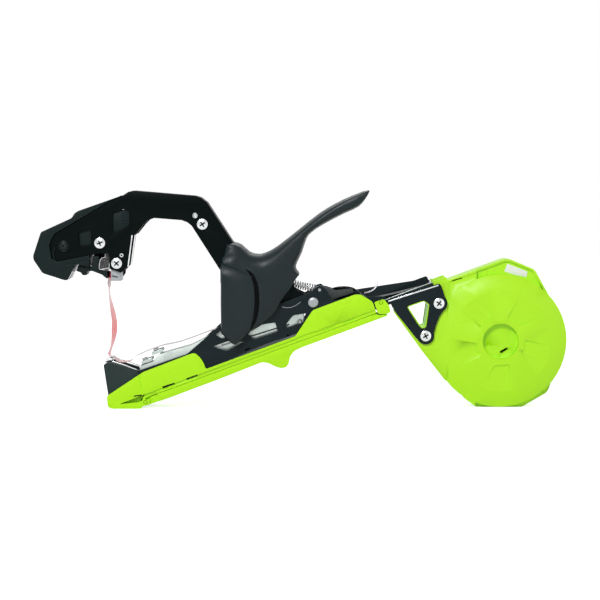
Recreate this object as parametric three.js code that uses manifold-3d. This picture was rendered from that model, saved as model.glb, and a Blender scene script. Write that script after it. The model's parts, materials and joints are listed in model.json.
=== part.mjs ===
// Plant tying tool: a hand tool that ties a plant to its support with tape and a staple.
// Millimetres, +Z up, +X toward the tape reel, the near side of the tool faces -Y.
import * as THREE from 'three';
import { mergeVertices } from 'three/addons/utils/BufferGeometryUtils.js';
import Module from 'manifold-3d';

const wasm = await Module();
wasm.setup();

// Sizes that more than one piece follows
const fit = 0.3; // gap between pieces that touch
const over = 40; // overrun of a cut
const sheet = 1.5; // steel of the frame, the lever and the bracket
const wall = 2; // moulded wall
const corner = 1.2; // radius on a moulded corner
const roundSides = 24;

const tape = { width: 11, thick: 0.3, edge: 1 };
const arm = { span: 200, depth: 50, tilt: 20.3 };
const lever = { reach: 200, height: 100 };
const grip = { run: 0.4, wall: 2.5, pad: 2.2 };
const rivet = { radius: 2.5, head: 3.8, headHeight: 1.4 };
const screw = { shaft: 1.9, head: 4.2, headHeight: 1.6, nut: 3.4, nutHeight: 2 };

// Half widths from the middle of the tape outward
const railHalf = tape.width / 2 + tape.edge;
const leverIn = railHalf + 2.5 * fit;
const leverOut = leverIn + sheet;
const frameIn = leverOut + fit;
const frameOut = frameIn + sheet;
const coverIn = frameOut + fit;
const coverOut = coverIn + wall;
const handleIn = coverOut + grip.run;
const handleOut = handleIn + grip.wall;
const padOut = handleOut + grip.pad;

// Outlines are shares of the length and the height of the piece that they belong to
const scaled = (shares, long, high) => shares.map(([x, z]) => [x * long, z * high]);
const onArm = (shares) => scaled(shares, arm.span, arm.depth);
const onLever = (shares) => scaled(shares, lever.reach, lever.height);

// The arm's slope, and the way from the arm's own frame to the tool's
const tilt = THREE.MathUtils.degToRad(arm.tilt);
const armToTool = ([u, v]) => [
  u * Math.cos(tilt) - v * Math.sin(tilt),
  u * Math.sin(tilt) + v * Math.cos(tilt),
];
const toolToArm = ([x, z]) => [
  x * Math.cos(tilt) + z * Math.sin(tilt),
  z * Math.cos(tilt) - x * Math.sin(tilt),
];

// A closed geometry as a solid that can be joined and cut
function solid(geometry) {
  const bare = geometry.clone();
  bare.deleteAttribute('normal');
  bare.deleteAttribute('uv');
  const merged = mergeVertices(bare);
  const vertProperties = new Float32Array(merged.attributes.position.array);
  const triVerts = new Uint32Array(merged.index.array);
  return new wasm.Manifold(new wasm.Mesh({ numProp: 3, vertProperties, triVerts }));
}
const join = (...bodies) => bodies.reduce((whole, body) => whole.add(body));
const cut = (whole, ...tools) => tools.reduce((left, tool) => left.subtract(tool), whole);
const common = (whole, ...bodies) => bodies.reduce((left, body) => left.intersect(body), whole);

// Corners of an outline turned into short curves, each within its share of a side
const sideShare = 0.47;
function rounded(points, radius, steps = 2) {
  const smooth = [];
  points.forEach((point, index) => {
    const at = new THREE.Vector2(...point);
    const before = new THREE.Vector2(...points.at(index - 1));
    const after = new THREE.Vector2(...points[(index + 1) % points.length]);
    const back = Math.min(radius, at.distanceTo(before) * sideShare);
    const ahead = Math.min(radius, at.distanceTo(after) * sideShare);
    const start = before.sub(at).setLength(back).add(at);
    const end = after.sub(at).setLength(ahead).add(at);
    const curve = new THREE.QuadraticBezierCurve(start, at, end);
    curve.getPoints(steps).forEach((spot) => smooth.push([spot.x, spot.y]));
  });
  return smooth;
}

// An outline drawn inward by a wall: each side moves in and meets its neighbours
function inset(points, distance) {
  const sides = points.map((point, index) => {
    const start = new THREE.Vector2(...point);
    const end = new THREE.Vector2(...points[(index + 1) % points.length]);
    const way = end.clone().sub(start).normalize();
    const inward = new THREE.Vector2(-way.y, way.x).multiplyScalar(distance);
    return { start: start.add(inward), way };
  });
  const area = THREE.ShapeUtils.area(points.map(([x, z]) => new THREE.Vector2(x, z)));
  if (area < 0) return inset([...points].reverse(), distance);
  return sides.map((side, index) => {
    const other = sides.at(index - 1);
    const cross = other.way.cross(side.way);
    const reach = side.start.clone().sub(other.start).cross(side.way) / cross;
    const meet = other.start.clone().addScaledVector(other.way, reach);
    return [meet.x, meet.y];
  });
}

// A plate: an outline in X and Z, from one Y to another
function plate(points, y0, y1) {
  const shape = new THREE.Shape(points.map(([x, z]) => new THREE.Vector2(x, z)));
  const geometry = new THREE.ExtrudeGeometry(shape, { depth: y1 - y0, bevelEnabled: false });
  geometry.rotateX(Math.PI / 2);
  geometry.translate(0, y1, 0);
  return solid(geometry);
}
const slab = (points, half) => plate(points, -half, half);
const pair = (points, inner, outer) => join(
  plate(points, inner, outer),
  plate(points, -outer, -inner),
);

// How far each point of an outline can see inward before it meets the other side
function roomInward(spots, inward) {
  return spots.map((spot, index) => {
    const way = inward[index];
    const hits = spots.map((start, place) => {
      const side = spots[(place + 1) % spots.length].clone().sub(start);
      const from = start.clone().sub(spot);
      const turn = way.cross(side);
      const far = from.cross(side) / turn;
      const share = from.cross(way) / turn;
      return share >= 0 && share <= 1 && far > fit ? far : Infinity;
    });
    return Math.min(...hits);
  });
}

// A moulded slab: rings of its outline, drawn in toward both faces, and less where it is thin
const thinShare = 0.42;
function softSlab(points, half, { draw, drop, steps = 4 }, ease = () => 1) {
  const ccw = THREE.ShapeUtils.area(points.map(([x, z]) => new THREE.Vector2(x, z))) > 0;
  const spots = (ccw ? points : [...points].reverse()).map(([x, z]) => new THREE.Vector2(x, z));
  const count = spots.length;
  const inward = spots.map((spot, index) => {
    const way = spots[(index + 1) % count].clone().sub(spots.at(index - 1));
    return new THREE.Vector2(-way.y, way.x).normalize();
  });
  const room = roomInward(spots, inward).map((far, index) => {
    const before = spots[index].clone().sub(spots.at(index - 1));
    const after = spots[(index + 1) % count].clone().sub(spots[index]);
    const bend = Math.atan2(before.cross(after), before.dot(after));
    return bend > 0 ? Math.min(far, Math.min(before.length(), after.length()) / bend) : far;
  });
  const nearby = [-2, -1, 0, 1, 2];
  const around = (values, index) => nearby.map((step) => values.at((index + step) % count));
  const least = spots.map((spot, index) => {
    const narrowest = Math.min(...around(room, index));
    return Math.min(draw * ease(spot), thinShare * narrowest);
  });
  const sum = (values) => values.reduce((total, value) => total + value);
  const reach = spots.map((_, index) => sum(around(least, index)) / nearby.length);
  const levels = [];
  for (let step = 0; step <= steps; step += 1) {
    const angle = (Math.PI * step) / (2 * steps);
    levels.push([1 - Math.sin(angle), -half + drop * (1 - Math.cos(angle))]);
  }
  [...levels].reverse().forEach(([share, y]) => levels.push([share, -y]));
  const positions = [];
  levels.forEach(([share, y]) => spots.forEach((spot, index) => {
    const place = spot.clone().addScaledVector(inward[index], reach[index] * share);
    positions.push(place.x, y, place.y);
  }));
  const faces = [];
  for (let level = 0; level < levels.length - 1; level += 1) {
    for (let index = 0; index < count; index += 1) {
      const here = level * count + index;
      const next = level * count + ((index + 1) % count);
      faces.push(here, here + count, next, next, here + count, next + count);
    }
  }
  const rim = spots.map((_, index) => new THREE.Vector2(positions[index * 3], positions[index * 3 + 2]));
  const last = (levels.length - 1) * count;
  THREE.ShapeUtils.triangulateShape(rim, []).forEach(([a, b, c]) => {
    faces.push(a, b, c, last + a, last + c, last + b);
  });
  const geometry = new THREE.BufferGeometry();
  geometry.setAttribute('position', new THREE.BufferAttribute(new Float32Array(positions), 3));
  geometry.setIndex(faces);
  return solid(geometry);
}

function disc([x, z], radius, y0, y1, sides = roundSides) {
  const geometry = new THREE.CylinderGeometry(radius, radius, y1 - y0, sides);
  geometry.translate(x, (y0 + y1) / 2, z);
  return solid(geometry);
}
const pin = (spot, radius, half, sides) => disc(spot, radius, -half, half, sides);

function box(x0, x1, y0, y1, z0, z1) {
  const geometry = new THREE.BoxGeometry(x1 - x0, y1 - y0, z1 - z0);
  geometry.translate((x0 + x1) / 2, (y0 + y1) / 2, (z0 + z1) / 2);
  return solid(geometry);
}

// A turned piece about the Y line through a point, its profile as [radius, y]
function turned([x, z], profile, sides) {
  const geometry = new THREE.LatheGeometry(profile.map(([r, y]) => new THREE.Vector2(r, y)), sides);
  geometry.translate(x, 0, z);
  return solid(geometry);
}

// A channel of bent sheet, open below: its top edge carries the web
function channel(top, rest, inner, outer, web) {
  const first = top[0];
  const last = top.at(-1);
  const pocket = [
    [first[0] - over, first[1] - web],
    ...top.map(([x, z]) => [x, z - web]),
    [last[0] + over, last[1] - web],
    [last[0] + over, -over * 3],
    [first[0] - over, -over * 3],
  ];
  return cut(slab([...top, ...rest], outer), slab(pocket, inner));
}

// A tube swept along points with a frame carried from one point to the next
function sweep(points, section) {
  const path = points.map(([x, y, z]) => new THREE.Vector3(x, y, z));
  const along = path.map((point, index) => {
    const before = path[Math.max(index - 1, 0)];
    const after = path[Math.min(index + 1, path.length - 1)];
    return after.clone().sub(before).normalize();
  });
  const normal = new THREE.Vector3(0, 1, 0);
  if (Math.abs(along[0].y) > 0.9) normal.set(0, 0, 1);
  const positions = [];
  path.forEach((point, index) => {
    const way = along[index];
    normal.addScaledVector(way, -normal.dot(way)).normalize();
    const side = new THREE.Vector3().crossVectors(way, normal);
    section(index / (path.length - 1)).forEach(([a, b]) => {
      const spot = point.clone().addScaledVector(normal, a).addScaledVector(side, b);
      positions.push(spot.x, spot.y, spot.z);
    });
  });
  const ring = section(0).length;
  const faces = [];
  for (let step = 0; step < path.length - 1; step += 1) {
    for (let turn = 0; turn < ring; turn += 1) {
      const here = step * ring + turn;
      const next = step * ring + ((turn + 1) % ring);
      faces.push(here, next, here + ring, next, next + ring, here + ring);
    }
  }
  const end = (path.length - 1) * ring;
  for (let turn = 1; turn < ring - 1; turn += 1) {
    faces.push(0, turn + 1, turn);
    faces.push(end, end + turn, end + turn + 1);
  }
  const geometry = new THREE.BufferGeometry();
  geometry.setAttribute('position', new THREE.BufferAttribute(new Float32Array(positions), 3));
  geometry.setIndex(faces);
  return geometry;
}
const circle = (radius, sides) => () => Array.from({ length: sides }, (_, side) => {
  const angle = (2 * Math.PI * side) / sides;
  return [radius * Math.cos(angle), radius * Math.sin(angle)];
});

// A wound spring between two points of the XZ plane, with straight ends along its axis
function spring(name, from, to, { radius, wire, turns, hooked = false }) {
  const start = new THREE.Vector3(from[0], 0, from[1]);
  const end = new THREE.Vector3(to[0], 0, to[1]);
  const axis = end.clone().sub(start);
  const length = axis.length();
  axis.normalize();
  const across = new THREE.Vector3(0, 1, 0);
  const third = new THREE.Vector3().crossVectors(axis, across);
  const steps = turns * 8;
  const lead = (hooked ? 4 : 2) * wire;
  const centre = (along) => start.clone().addScaledVector(axis, along);
  const spot = (along, angle) => start.clone()
    .addScaledVector(axis, along)
    .addScaledVector(across, radius * Math.sin(angle))
    .addScaledVector(third, radius * Math.cos(angle));
  const points = hooked ? [centre(0), centre(2 * wire)] : [spot(0, 0)];
  for (let step = 0; step <= steps; step += 1) {
    const along = lead + ((length - 2 * lead) * step) / steps;
    points.push(spot(along, (2 * Math.PI * step) / 8));
  }
  points.push(...(hooked ? [centre(length - 2 * wire), centre(length)] : [spot(length, 0)]));
  const pitch = (length - 2 * lead) / turns;
  let gap = Infinity;
  points.forEach((point, index) => {
    points.slice(index + 5).forEach((other) => {
      gap = Math.min(gap, point.distanceTo(other) - 2 * wire);
    });
  });
  console.log(`${name}: pitch ${pitch.toFixed(2)} mm, least gap ${gap.toFixed(2)} mm`);
  return sweep(points.map((point) => point.toArray()), circle(wire, 5));
}

// Colours and finishes
const paint = (color, roughness, metalness = 0) => ({ color, roughness, metalness });
const blackSteel = paint(0x141c1c, 0.32, 0.4);
const green = paint(0xb2f028, 0.4);
const slate = paint(0x343e42, 0.5);
const noseSlate = paint(0x2a3438, 0.5);
const zinc = paint(0xd8dcdc, 0.3, 0.9);
const darkZinc = paint(0x8a9094, 0.35, 0.9);
const tapePink = paint(0xf08c96, 0.4);
const clear = paint(0xb8c4c4, 0.2);
const brass = paint(0xc8a860, 0.35, 0.9);

const tool = new THREE.Group();
const armGroup = new THREE.Group();
armGroup.rotation.y = -tilt;
tool.add(armGroup);

function addMesh(parent, name, shape, finish) {
  let geometry = shape;
  if (!shape.isBufferGeometry) {
    const mesh = shape.getMesh();
    geometry = new THREE.BufferGeometry();
    geometry.setAttribute('position', new THREE.BufferAttribute(mesh.vertProperties, 3));
    geometry.setIndex(new THREE.BufferAttribute(mesh.triVerts, 1));
  }
  geometry.computeVertexNormals();
  const mesh = new THREE.Mesh(geometry, new THREE.MeshStandardMaterial(finish));
  mesh.name = name;
  parent.add(mesh);
}

// Places on the arm
const pivot = [0, 0];
const [anchorSpot] = onArm([[0.037, 0.136]]);
const [railPinSpot] = onArm([[-0.07, -0.2]]);
const [latchPinSpot] = onArm([[0.23, -0.34]]);
const [fingerPinSpot] = onArm([[-0.699, -0.52]]);
const noseRear = -0.6875 * arm.span;
const frameFront = noseRear + fit;
const frameRear = 0.429 * arm.span;
const frameFloor = -0.414 * arm.depth;
const coverFloor = frameFloor - fit - wall;
const chin = onArm([[-0.7255, -0.58]])[0];
const levelAt = (u) => chin[1] + (chin[0] - u) * Math.tan(tilt);
const smallPin = 1.2;
const shield = { step: 0.9, foot: -0.405 * arm.depth };
const chinEar = { length: 9, thick: 1.4, edge: 1 };

// Main frame: a steel channel with its web below, ears at the pivot and a low rear tape channel
{
  const frontShares = [
    [-0.496, -0.072], [-0.4545, -0.008], [-0.346, 0.158], [-0.06, 0.15], [-0.025, 0.15],
    [0.012, 0.16], [0.028, 0.195], [0.05, 0.19], [0.06, 0.09], [0.0645, -0.068],
  ];
  const nearShares = [[0.17, -0.16], [0.245, -0.27], [0.255, -0.32]];
  const farShares = [[0.154, -0.066], [0.2445, -0.14], [0.372, -0.246], [0.424, -0.246]];
  const front = [[frameFront, frameFloor], [frameFront, onArm([[0, -0.056]])[0][1]]];
  const nearEnd = [[frameRear, -0.32 * arm.depth], [frameRear, frameFloor]];
  const near = rounded([...front, ...onArm([...frontShares, ...nearShares]), ...nearEnd], corner);
  const far = rounded([...front, ...onArm([...frontShares, ...farShares]), nearEnd[1]], corner);
  const webHalf = frameIn + sheet / 2;
  const web = box(frameFront, frameRear, -webHalf, webHalf, frameFloor, frameFloor + sheet);
  const windowShares = [
    [[-0.3765, 0.05], [-0.3085, 0.13], [-0.284, -0.066], [-0.358, -0.03]],
    [[-0.2635, -0.096], [-0.2015, -0.046], [-0.1545, -0.084], [-0.158, -0.222], [-0.248, -0.212]],
    [[-0.124, -0.174], [-0.0845, -0.076], [-0.0345, -0.118], [-0.059, -0.22], [-0.121, -0.224]],
    [[-0.401, -0.1], [-0.3395, -0.1], [-0.286, -0.194], [-0.356, -0.232]],
    [[-0.2945, -0.298], [-0.271, -0.3], [-0.272, -0.328], [-0.2955, -0.326]],
    [[-0.133, -0.314], [-0.12, -0.316], [-0.121, -0.34], [-0.134, -0.338]],
  ];
  const windows = windowShares.map((shares) => slab(rounded(onArm(shares), corner), over));
  const holes = [
    pin(pivot, rivet.radius + fit, over),
    pin(anchorSpot, smallPin + fit, over, 12),
    pin(railPinSpot, smallPin + fit, over, 12),
    pin(latchPinSpot, smallPin + fit, over, 12),
  ];
  const plates = join(plate(near, -frameOut, -frameIn), plate(far, frameIn, frameOut), web);
  addMesh(armGroup, 'main_frame', cut(plates, ...windows, ...holes), blackSteel);
}

// Grip cover: a green trough clipped round the frame, with a shield at each end and a level chin
{
  const topShares = [
    [-0.833, -0.394], [-0.8225, -0.24], [-0.6675, -0.0935], [-0.475, -0.084], [-0.4655, -0.1],
    [-0.4535, -0.19], [-0.4495, -0.284], [-0.4495, -0.37], [-0.1035, -0.37], [-0.012, -0.102],
    [0.1505, -0.1], [0.171, -0.13], [0.202, -0.284],
  ];
  const front = -0.82 * arm.span;
  const rear = 0.2015 * arm.span;
  const chinRear = -0.7155 * arm.span;
  const chinStep = 0.005 * arm.depth;
  const outline = [
    [front, levelAt(front)], ...onArm(topShares), [rear, coverFloor], [chinRear, coverFloor],
    [chinRear, chin[1] + chinStep], chin,
  ];
  const band = [
    [chinRear + wall, shield.foot], [rear + over, shield.foot],
    [rear + over, -over], [chinRear + wall, -over],
  ];
  const pocket = box(front - over, rear + over, -coverIn, coverIn, frameFloor - fit, over);
  const slotShares = [-0.6745, -0.5975, -0.505, 0.018, 0.0995];
  const slot = { length: 8.5, height: 1.8, deep: 0.6 };
  const slots = slotShares.flatMap((share) => [-1, 1].map((side) => {
    const middle = share * arm.span;
    const face = coverOut - shield.step;
    const [y0, y1] = [side * (face - slot.deep), side * (face + wall)].sort((a, b) => a - b);
    const top = shield.foot - shield.step;
    return box(middle - slot.length / 2, middle + slot.length / 2, y0, y1, top - slot.height, top);
  }));
  const earRear = fingerPinSpot[0] + chinEar.length / 2;
  const earFoot = fingerPinSpot[1] - smallPin - chinEar.edge;
  const ears = pair([
    [chinRear - wall, coverFloor + wall / 2], [earRear, coverFloor + wall / 2],
    [earRear - wall, earFoot], [chinRear - wall, earFoot],
  ], coverOut - shield.step - chinEar.thick, coverOut - shield.step);

  // Hollow in the side of the chin, under the front shield
  const hollowShares = [[-0.79, -0.412], [-0.7255, -0.484], [-0.71, -0.484], [-0.69, -0.405]];
  const hollowDeep = 4.5;
  const hollows = pair(onArm(hollowShares), coverOut - hollowDeep, coverOut + over);
  const trough = join(slab(rounded(outline, corner), coverOut), ears);
  const recess = pair(band, coverOut - shield.step, coverOut + over);
  const hole = pin(fingerPinSpot, smallPin + fit, over, 12);
  addMesh(armGroup, 'grip_cover', cut(trough, pocket, recess, hole, hollows, ...slots), green);
}

// Nose block: the black moulding that the tape climbs to the tip
const noseTop = onArm([[-0.7945, 0.205], [-0.7775, 0.212], [-0.7605, 0.18]]);
{
  const [[front, noseHeel]] = onArm([[-0.828, -0.044]]);
  const outline = [[front, frameFloor], ...noseTop, [noseRear, noseHeel], [noseRear, frameFloor]];
  const slopeShare = (noseTop[2][1] - noseHeel) / (noseRear - noseTop[2][0]);
  const groove = { deep: 1.6, half: tape.width / 2 + tape.edge / 2 };
  const slope = [
    [front, noseTop[0][1] - groove.deep], [noseTop[2][0], noseTop[2][1] - groove.deep],
    [noseRear + over, noseHeel - groove.deep - over * slopeShare],
    [noseRear + over, over], [front, over],
  ];
  const block = slab(rounded(outline, corner), frameOut);
  addMesh(armGroup, 'nose_block', cut(block, slab(slope, groove.half)), noseSlate);
}

// Tape guide: a bright stirrup on the tip of the nose, with the bar that the tape leaves over
const [guideBar] = onArm([[-0.775, 0.25]]);
const guide = { inner: 6.4, thick: 1.2, bar: 0.9, length: 6.4 };
{
  const foot = noseTop[1][1] + fit;
  const cheek = rounded([
    [guideBar[0] - guide.length / 2, foot], [guideBar[0] - guide.length / 2, guideBar[1]],
    [guideBar[0], guideBar[1] + guide.thick], [guideBar[0] + guide.length / 2, guideBar[1]],
    [guideBar[0] + guide.length / 2, foot],
  ], guide.thick);
  const cheeks = pair(cheek, guide.inner, guide.inner + guide.thick);
  const bar = pin(guideBar, guide.bar, guide.inner + guide.thick / 2, 10);
  addMesh(armGroup, 'tape_guide', join(cheeks, bar), zinc);
}

// Staple driver: the blade behind the nose that the magazine comes down on
const driver = { thick: 0.6, half: 4.4, gap: 2.4 };
{
  const u = frameFront + driver.gap;
  const foot = frameFloor + sheet + fit;
  const blade = box(u, u + driver.thick, -driver.half, driver.half, foot, foot + 0.13 * arm.depth);
  const base = box(u - driver.gap / 2, u + 4 * driver.thick, -driver.half, driver.half, foot, foot + sheet);
  addMesh(armGroup, 'staple_driver', join(blade, base), darkZinc);
}

// Pivot rivet, and the pins of the arm
{
  const reach = frameOut + fit;
  const heads = [-1, 1].map((side) => {
    const y = [side * reach, side * (reach + rivet.headHeight)].sort((a, b) => a - b);
    return disc(pivot, rivet.head, y[0], y[1]);
  });
  const shank = pin(pivot, rivet.radius, reach + rivet.headHeight / 2);
  addMesh(armGroup, 'pivot_rivet', join(shank, ...heads), zinc);
  addMesh(armGroup, 'spring_anchor_pin', pin(anchorSpot, smallPin, frameOut, 12), zinc);
  addMesh(armGroup, 'magazine_pin', pin(railPinSpot, smallPin, frameOut, 12), zinc);
  addMesh(armGroup, 'latch_pin', pin(latchPinSpot, smallPin, coverOut, 12), zinc);
  addMesh(armGroup, 'finger_rail_pin', pin(fingerPinSpot, smallPin, coverOut - shield.step, 12), zinc);
}

// Magazine: the bright rail that holds the staples and swings down on the driver
const railFront = noseRear + fit;
const railLow = -0.24 * arm.depth;
{
  const thin = 1;
  const topShares = [
    [-0.626, -0.01], [-0.593, 0.06], [-0.472, 0.022], [-0.36, 0.08], [-0.12, 0.03], [-0.05, 0.01],
  ];
  const restShares = [[-0.045, -0.1], [-0.055, -0.25], [-0.09, -0.28], [-0.12, -0.24]];
  const front = railFront + sheet;
  const body = channel(
    [[front, -0.01 * arm.depth], ...onArm(topShares)],
    [...onArm(restShares), [front, railLow]],
    railHalf - thin, railHalf, thin,
  );
  const exitHalf = driver.half + fit;
  const exit = box(front - over, front + driver.gap + 2 * thin, -exitHalf, exitHalf, railLow, over);
  const hole = pin(railPinSpot, smallPin + fit, over, 12);
  const slotShares = [[-0.41, -0.112], [-0.11, -0.176], [-0.11, -0.198], [-0.41, -0.134]];
  const slot = slab(onArm(slotShares), over);
  addMesh(armGroup, 'magazine_rail', cut(body, exit, hole, slot), zinc);

  // Tape gate: two small bright blocks on the front of the rail, and the little springs on them
  const gate = { length: 8.4, height: 2.2, gap: 1 };
  const gateFoot = onArm([[0, 0.008], [0, 0.078]]);
  ['front', 'rear'].forEach((place, step) => {
    const u0 = front + driver.gap + fit + step * (gate.length + gate.gap);
    const u1 = u0 + gate.length;
    const foot = gateFoot[step][1];
    const head = foot + gate.height;
    const side = pair([[u0, foot], [u1, foot], [u1, head], [u0, head]], railHalf - 2 * thin, railHalf);
    const bridge = box(u0 + thin, u1 - thin, thin - railHalf, railHalf - thin, foot, foot + thin);
    addMesh(armGroup, `tape_gate_${place}`, join(side, bridge), zinc);
  });

  // Staples: a clip of staples hung in the rail, ribbed where one ends and the next begins
  const roof = onArm([[0, -0.06]])[0][1];
  const clip = { half: 4.9, length: 58, drop: 5, pitch: 2.9, groove: 0.35 };
  const clipStart = front + driver.gap + 2 * thin;
  const crown = box(clipStart, clipStart + clip.length, -clip.half, clip.half, roof - clip.drop, roof);
  const legIn = clip.half - thin;
  const hollow = box(clipStart - over, clipStart + over * 2, -legIn, legIn, roof - over, roof - thin);
  const grooves = Array.from({ length: Math.floor(clip.length / clip.pitch) - 1 }, (_, index) => {
    const u = clipStart + (index + 1) * clip.pitch;
    return box(u, u + clip.groove, -over, over, roof - clip.groove, over);
  });
  addMesh(armGroup, 'staple_strip', cut(crown, hollow, ...grooves), brass);

  // Pusher, its guide rod and the spring that drives it forward
  const pushFront = clipStart + clip.length + fit;
  const pusher = { length: 9, height: 6.5 };
  const rodRadius = 0.9;
  const rodLevel = roof - clip.drop / 2;
  const rodEnd = onArm([[-0.105, 0]])[0][0];
  const block = box(pushFront, pushFront + pusher.length, -clip.half, clip.half, roof - pusher.height, roof);
  const bore = cylinderAlong(pushFront - over, pushFront + over, rodLevel, rodRadius + fit);
  addMesh(armGroup, 'staple_pusher', cut(block, bore), darkZinc);
  const stop = legIn - fit;
  const stopLow = roof - clip.drop + fit;
  const legs = box(clipStart, clipStart + thin, -stop, stop, stopLow, roof - thin - fit);
  addMesh(armGroup, 'pusher_rod', join(cylinderAlong(clipStart, rodEnd, rodLevel, rodRadius), legs), zinc);
  const coil = { radius: 2, wire: 0.3, turns: 12 };
  const pushRear = pushFront + pusher.length + fit;
  const coiled = spring('pusher_spring', [pushRear, rodLevel], [rodEnd, rodLevel], coil);
  addMesh(armGroup, 'pusher_spring', coiled, zinc);
}

function cylinderAlong(u0, u1, v, radius) {
  const geometry = new THREE.CylinderGeometry(radius, radius, u1 - u0, 12);
  geometry.rotateZ(Math.PI / 2);
  geometry.translate((u0 + u1) / 2, 0, v);
  return solid(geometry);
}

// Magazine spring: a small upright spring that lifts the front of the rail
{
  const u = -0.56 * arm.span;
  const coil = { radius: 2.4, wire: 0.35, turns: 3 };
  const foot = frameFloor + sheet + fit + coil.wire;
  const head = railLow - fit - coil.wire;
  addMesh(armGroup, 'magazine_spring', spring('magazine_spring', [u, foot], [u, head], coil), zinc);
}

// Finger rail: the lower green strip with the finger hook, hinged under the chin
{
  const lowShares = [
    [-0.66, -0.575], [-0.6, -0.58], [-0.43, -0.576], [-0.2505, -0.558], [-0.2305, -0.598],
    [-0.2135, -0.672], [-0.1955, -0.732], [-0.1765, -0.752], [-0.162, -0.72], [-0.1475, -0.624],
    [-0.1275, -0.57], [-0.097, -0.556], [0.236, -0.554], [0.236, -0.536], [0.203, -0.5],
  ];
  const top = coverFloor - fit;
  const rear = 0.2015 * arm.span;
  const half = coverOut - shield.step;
  const outline = [
    [fingerPinSpot[0], top], [fingerPinSpot[0], lowShares[0][1] * arm.depth], ...onArm(lowShares),
    [rear, top],
  ];
  const knuckle = { radius: top - fingerPinSpot[1], half: half - chinEar.thick - fit, length: 10 };
  const side = [
    [-arm.span, over], [fingerPinSpot[0] + knuckle.length, over],
    [fingerPinSpot[0] + knuckle.length, -over], [-arm.span, -over],
  ];
  const rail = join(slab(rounded(outline, corner), half), pin(fingerPinSpot, knuckle.radius, half));
  const hollow = { floor: 1.8, half: half - 2 * wall, front: 24 };
  const [[hollowRear, railLowest]] = onArm([[-0.26, -0.558]]);
  const trough = box(
    fingerPinSpot[0] + hollow.front, hollowRear, -hollow.half, hollow.half,
    railLowest + hollow.floor, over,
  );
  const hole = pin(fingerPinSpot, smallPin + fit, over, 12);
  addMesh(armGroup, 'finger_rail', cut(rail, pair(side, knuckle.half, over), trough, hole), green);
}

// Rail latch: the green clip behind the grip that holds the rear of the finger rail
{
  const shares = [
    [0.2065, -0.3], [0.2435, -0.306], [0.2535, -0.42], [0.252, -0.51], [0.2375, -0.528], [0.2065, -0.486],
  ];
  const outline = rounded(onArm(shares), corner);
  const legs = pair(outline, coverIn, coverOut);
  const toeShares = [[0.2065, -0.436], [0.235, -0.446], [0.236, -0.524], [0.2065, -0.484]];
  const toe = slab(rounded(onArm(toeShares), corner), coverOut - wall / 2);
  const frameRoom = box(-over, over * 2, -coverIn, coverIn, frameFloor - fit, over);
  const body = join(legs, cut(toe, frameRoom));
  addMesh(armGroup, 'rail_latch', cut(body, pin(latchPinSpot, smallPin + fit, over, 12)), green);
}

// Reel bracket: two steel cheeks and a web under the rear of the frame
const lowerScrew = onArm([[0.34, -1.02]])[0];
const reel = { radius: 48.5, face: 37, height: 97 };
const lugShares = [[-0.562, 0.043], [-0.465, 0.287]];
const [lugLower, lugUpper] = scaled(lugShares, reel.height, reel.height);
const lowerScrewTool = armToTool(lowerScrew);
const reelCentre = [lowerScrewTool[0] - lugLower[0], lowerScrewTool[1] - lugLower[1]];
const reelToArm = ([x, z]) => toolToArm([x + reelCentre[0], z + reelCentre[1]]);
const armToReel = (spot) => armToTool(spot).map((value, index) => value - reelCentre[index]);
const upperScrew = reelToArm(lugUpper);
const bracketWindow = onArm([
  [0.3105, -0.52], [0.3795, -0.522], [0.394, -0.602], [0.3525, -0.914], [0.335, -0.908], [0.3285, -0.84],
]);
{
  const bossRadius = 6.2;
  const shares = [
    [0.265, -0.37], [0.265, -0.528], [0.279, -0.682], [0.309, -1.05], [0.369, -1.04], [0.3865, -0.934],
    [0.411, -0.822], [0.4405, -0.738], [0.4535, -0.638], [0.455, -0.37],
  ];
  const cheek = rounded(onArm(shares), 2 * corner);
  const inner = coverIn;
  const outer = coverIn + sheet;
  const bosses = [lowerScrew, upperScrew].map((spot) => join(
    disc(spot, bossRadius, inner, outer),
    disc(spot, bossRadius, -outer, -inner),
  ));
  const webFront = shares[0][0] * arm.span + sheet;
  const webHalf = inner + sheet / 2;
  const webTop = frameFloor - fit;
  const web = box(webFront, frameRear - sheet, -webHalf, webHalf, webTop - sheet, webTop);
  const window = slab(rounded(bracketWindow, 2 * corner), over);
  const holes = [lowerScrew, upperScrew].map((spot) => pin(spot, screw.shaft + fit, over, 12));
  const cheeks = join(pair(cheek, inner, outer), ...bosses, web);
  addMesh(armGroup, 'reel_bracket', cut(cheeks, window, ...holes), blackSteel);

  [['lower', lowerScrew], ['upper', upperScrew]].forEach(([name, spot]) => {
    const face = -outer - fit;
    const tip = outer + 2 * fit + screw.nutHeight + sheet / 2;
    const shaft = disc(spot, screw.shaft, face - screw.headHeight / 2, tip, 12);
    const head = disc(spot, screw.head, face - screw.headHeight, face);
    addMesh(armGroup, `bracket_screw_${name}`, join(head, shaft), zinc);
    const nut = disc(spot, screw.nut, outer + fit, outer + fit + screw.nutHeight, 6);
    addMesh(armGroup, `bracket_nut_${name}`, cut(nut, pin(spot, screw.shaft + fit, over, 12)), zinc);
  });
}

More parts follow.
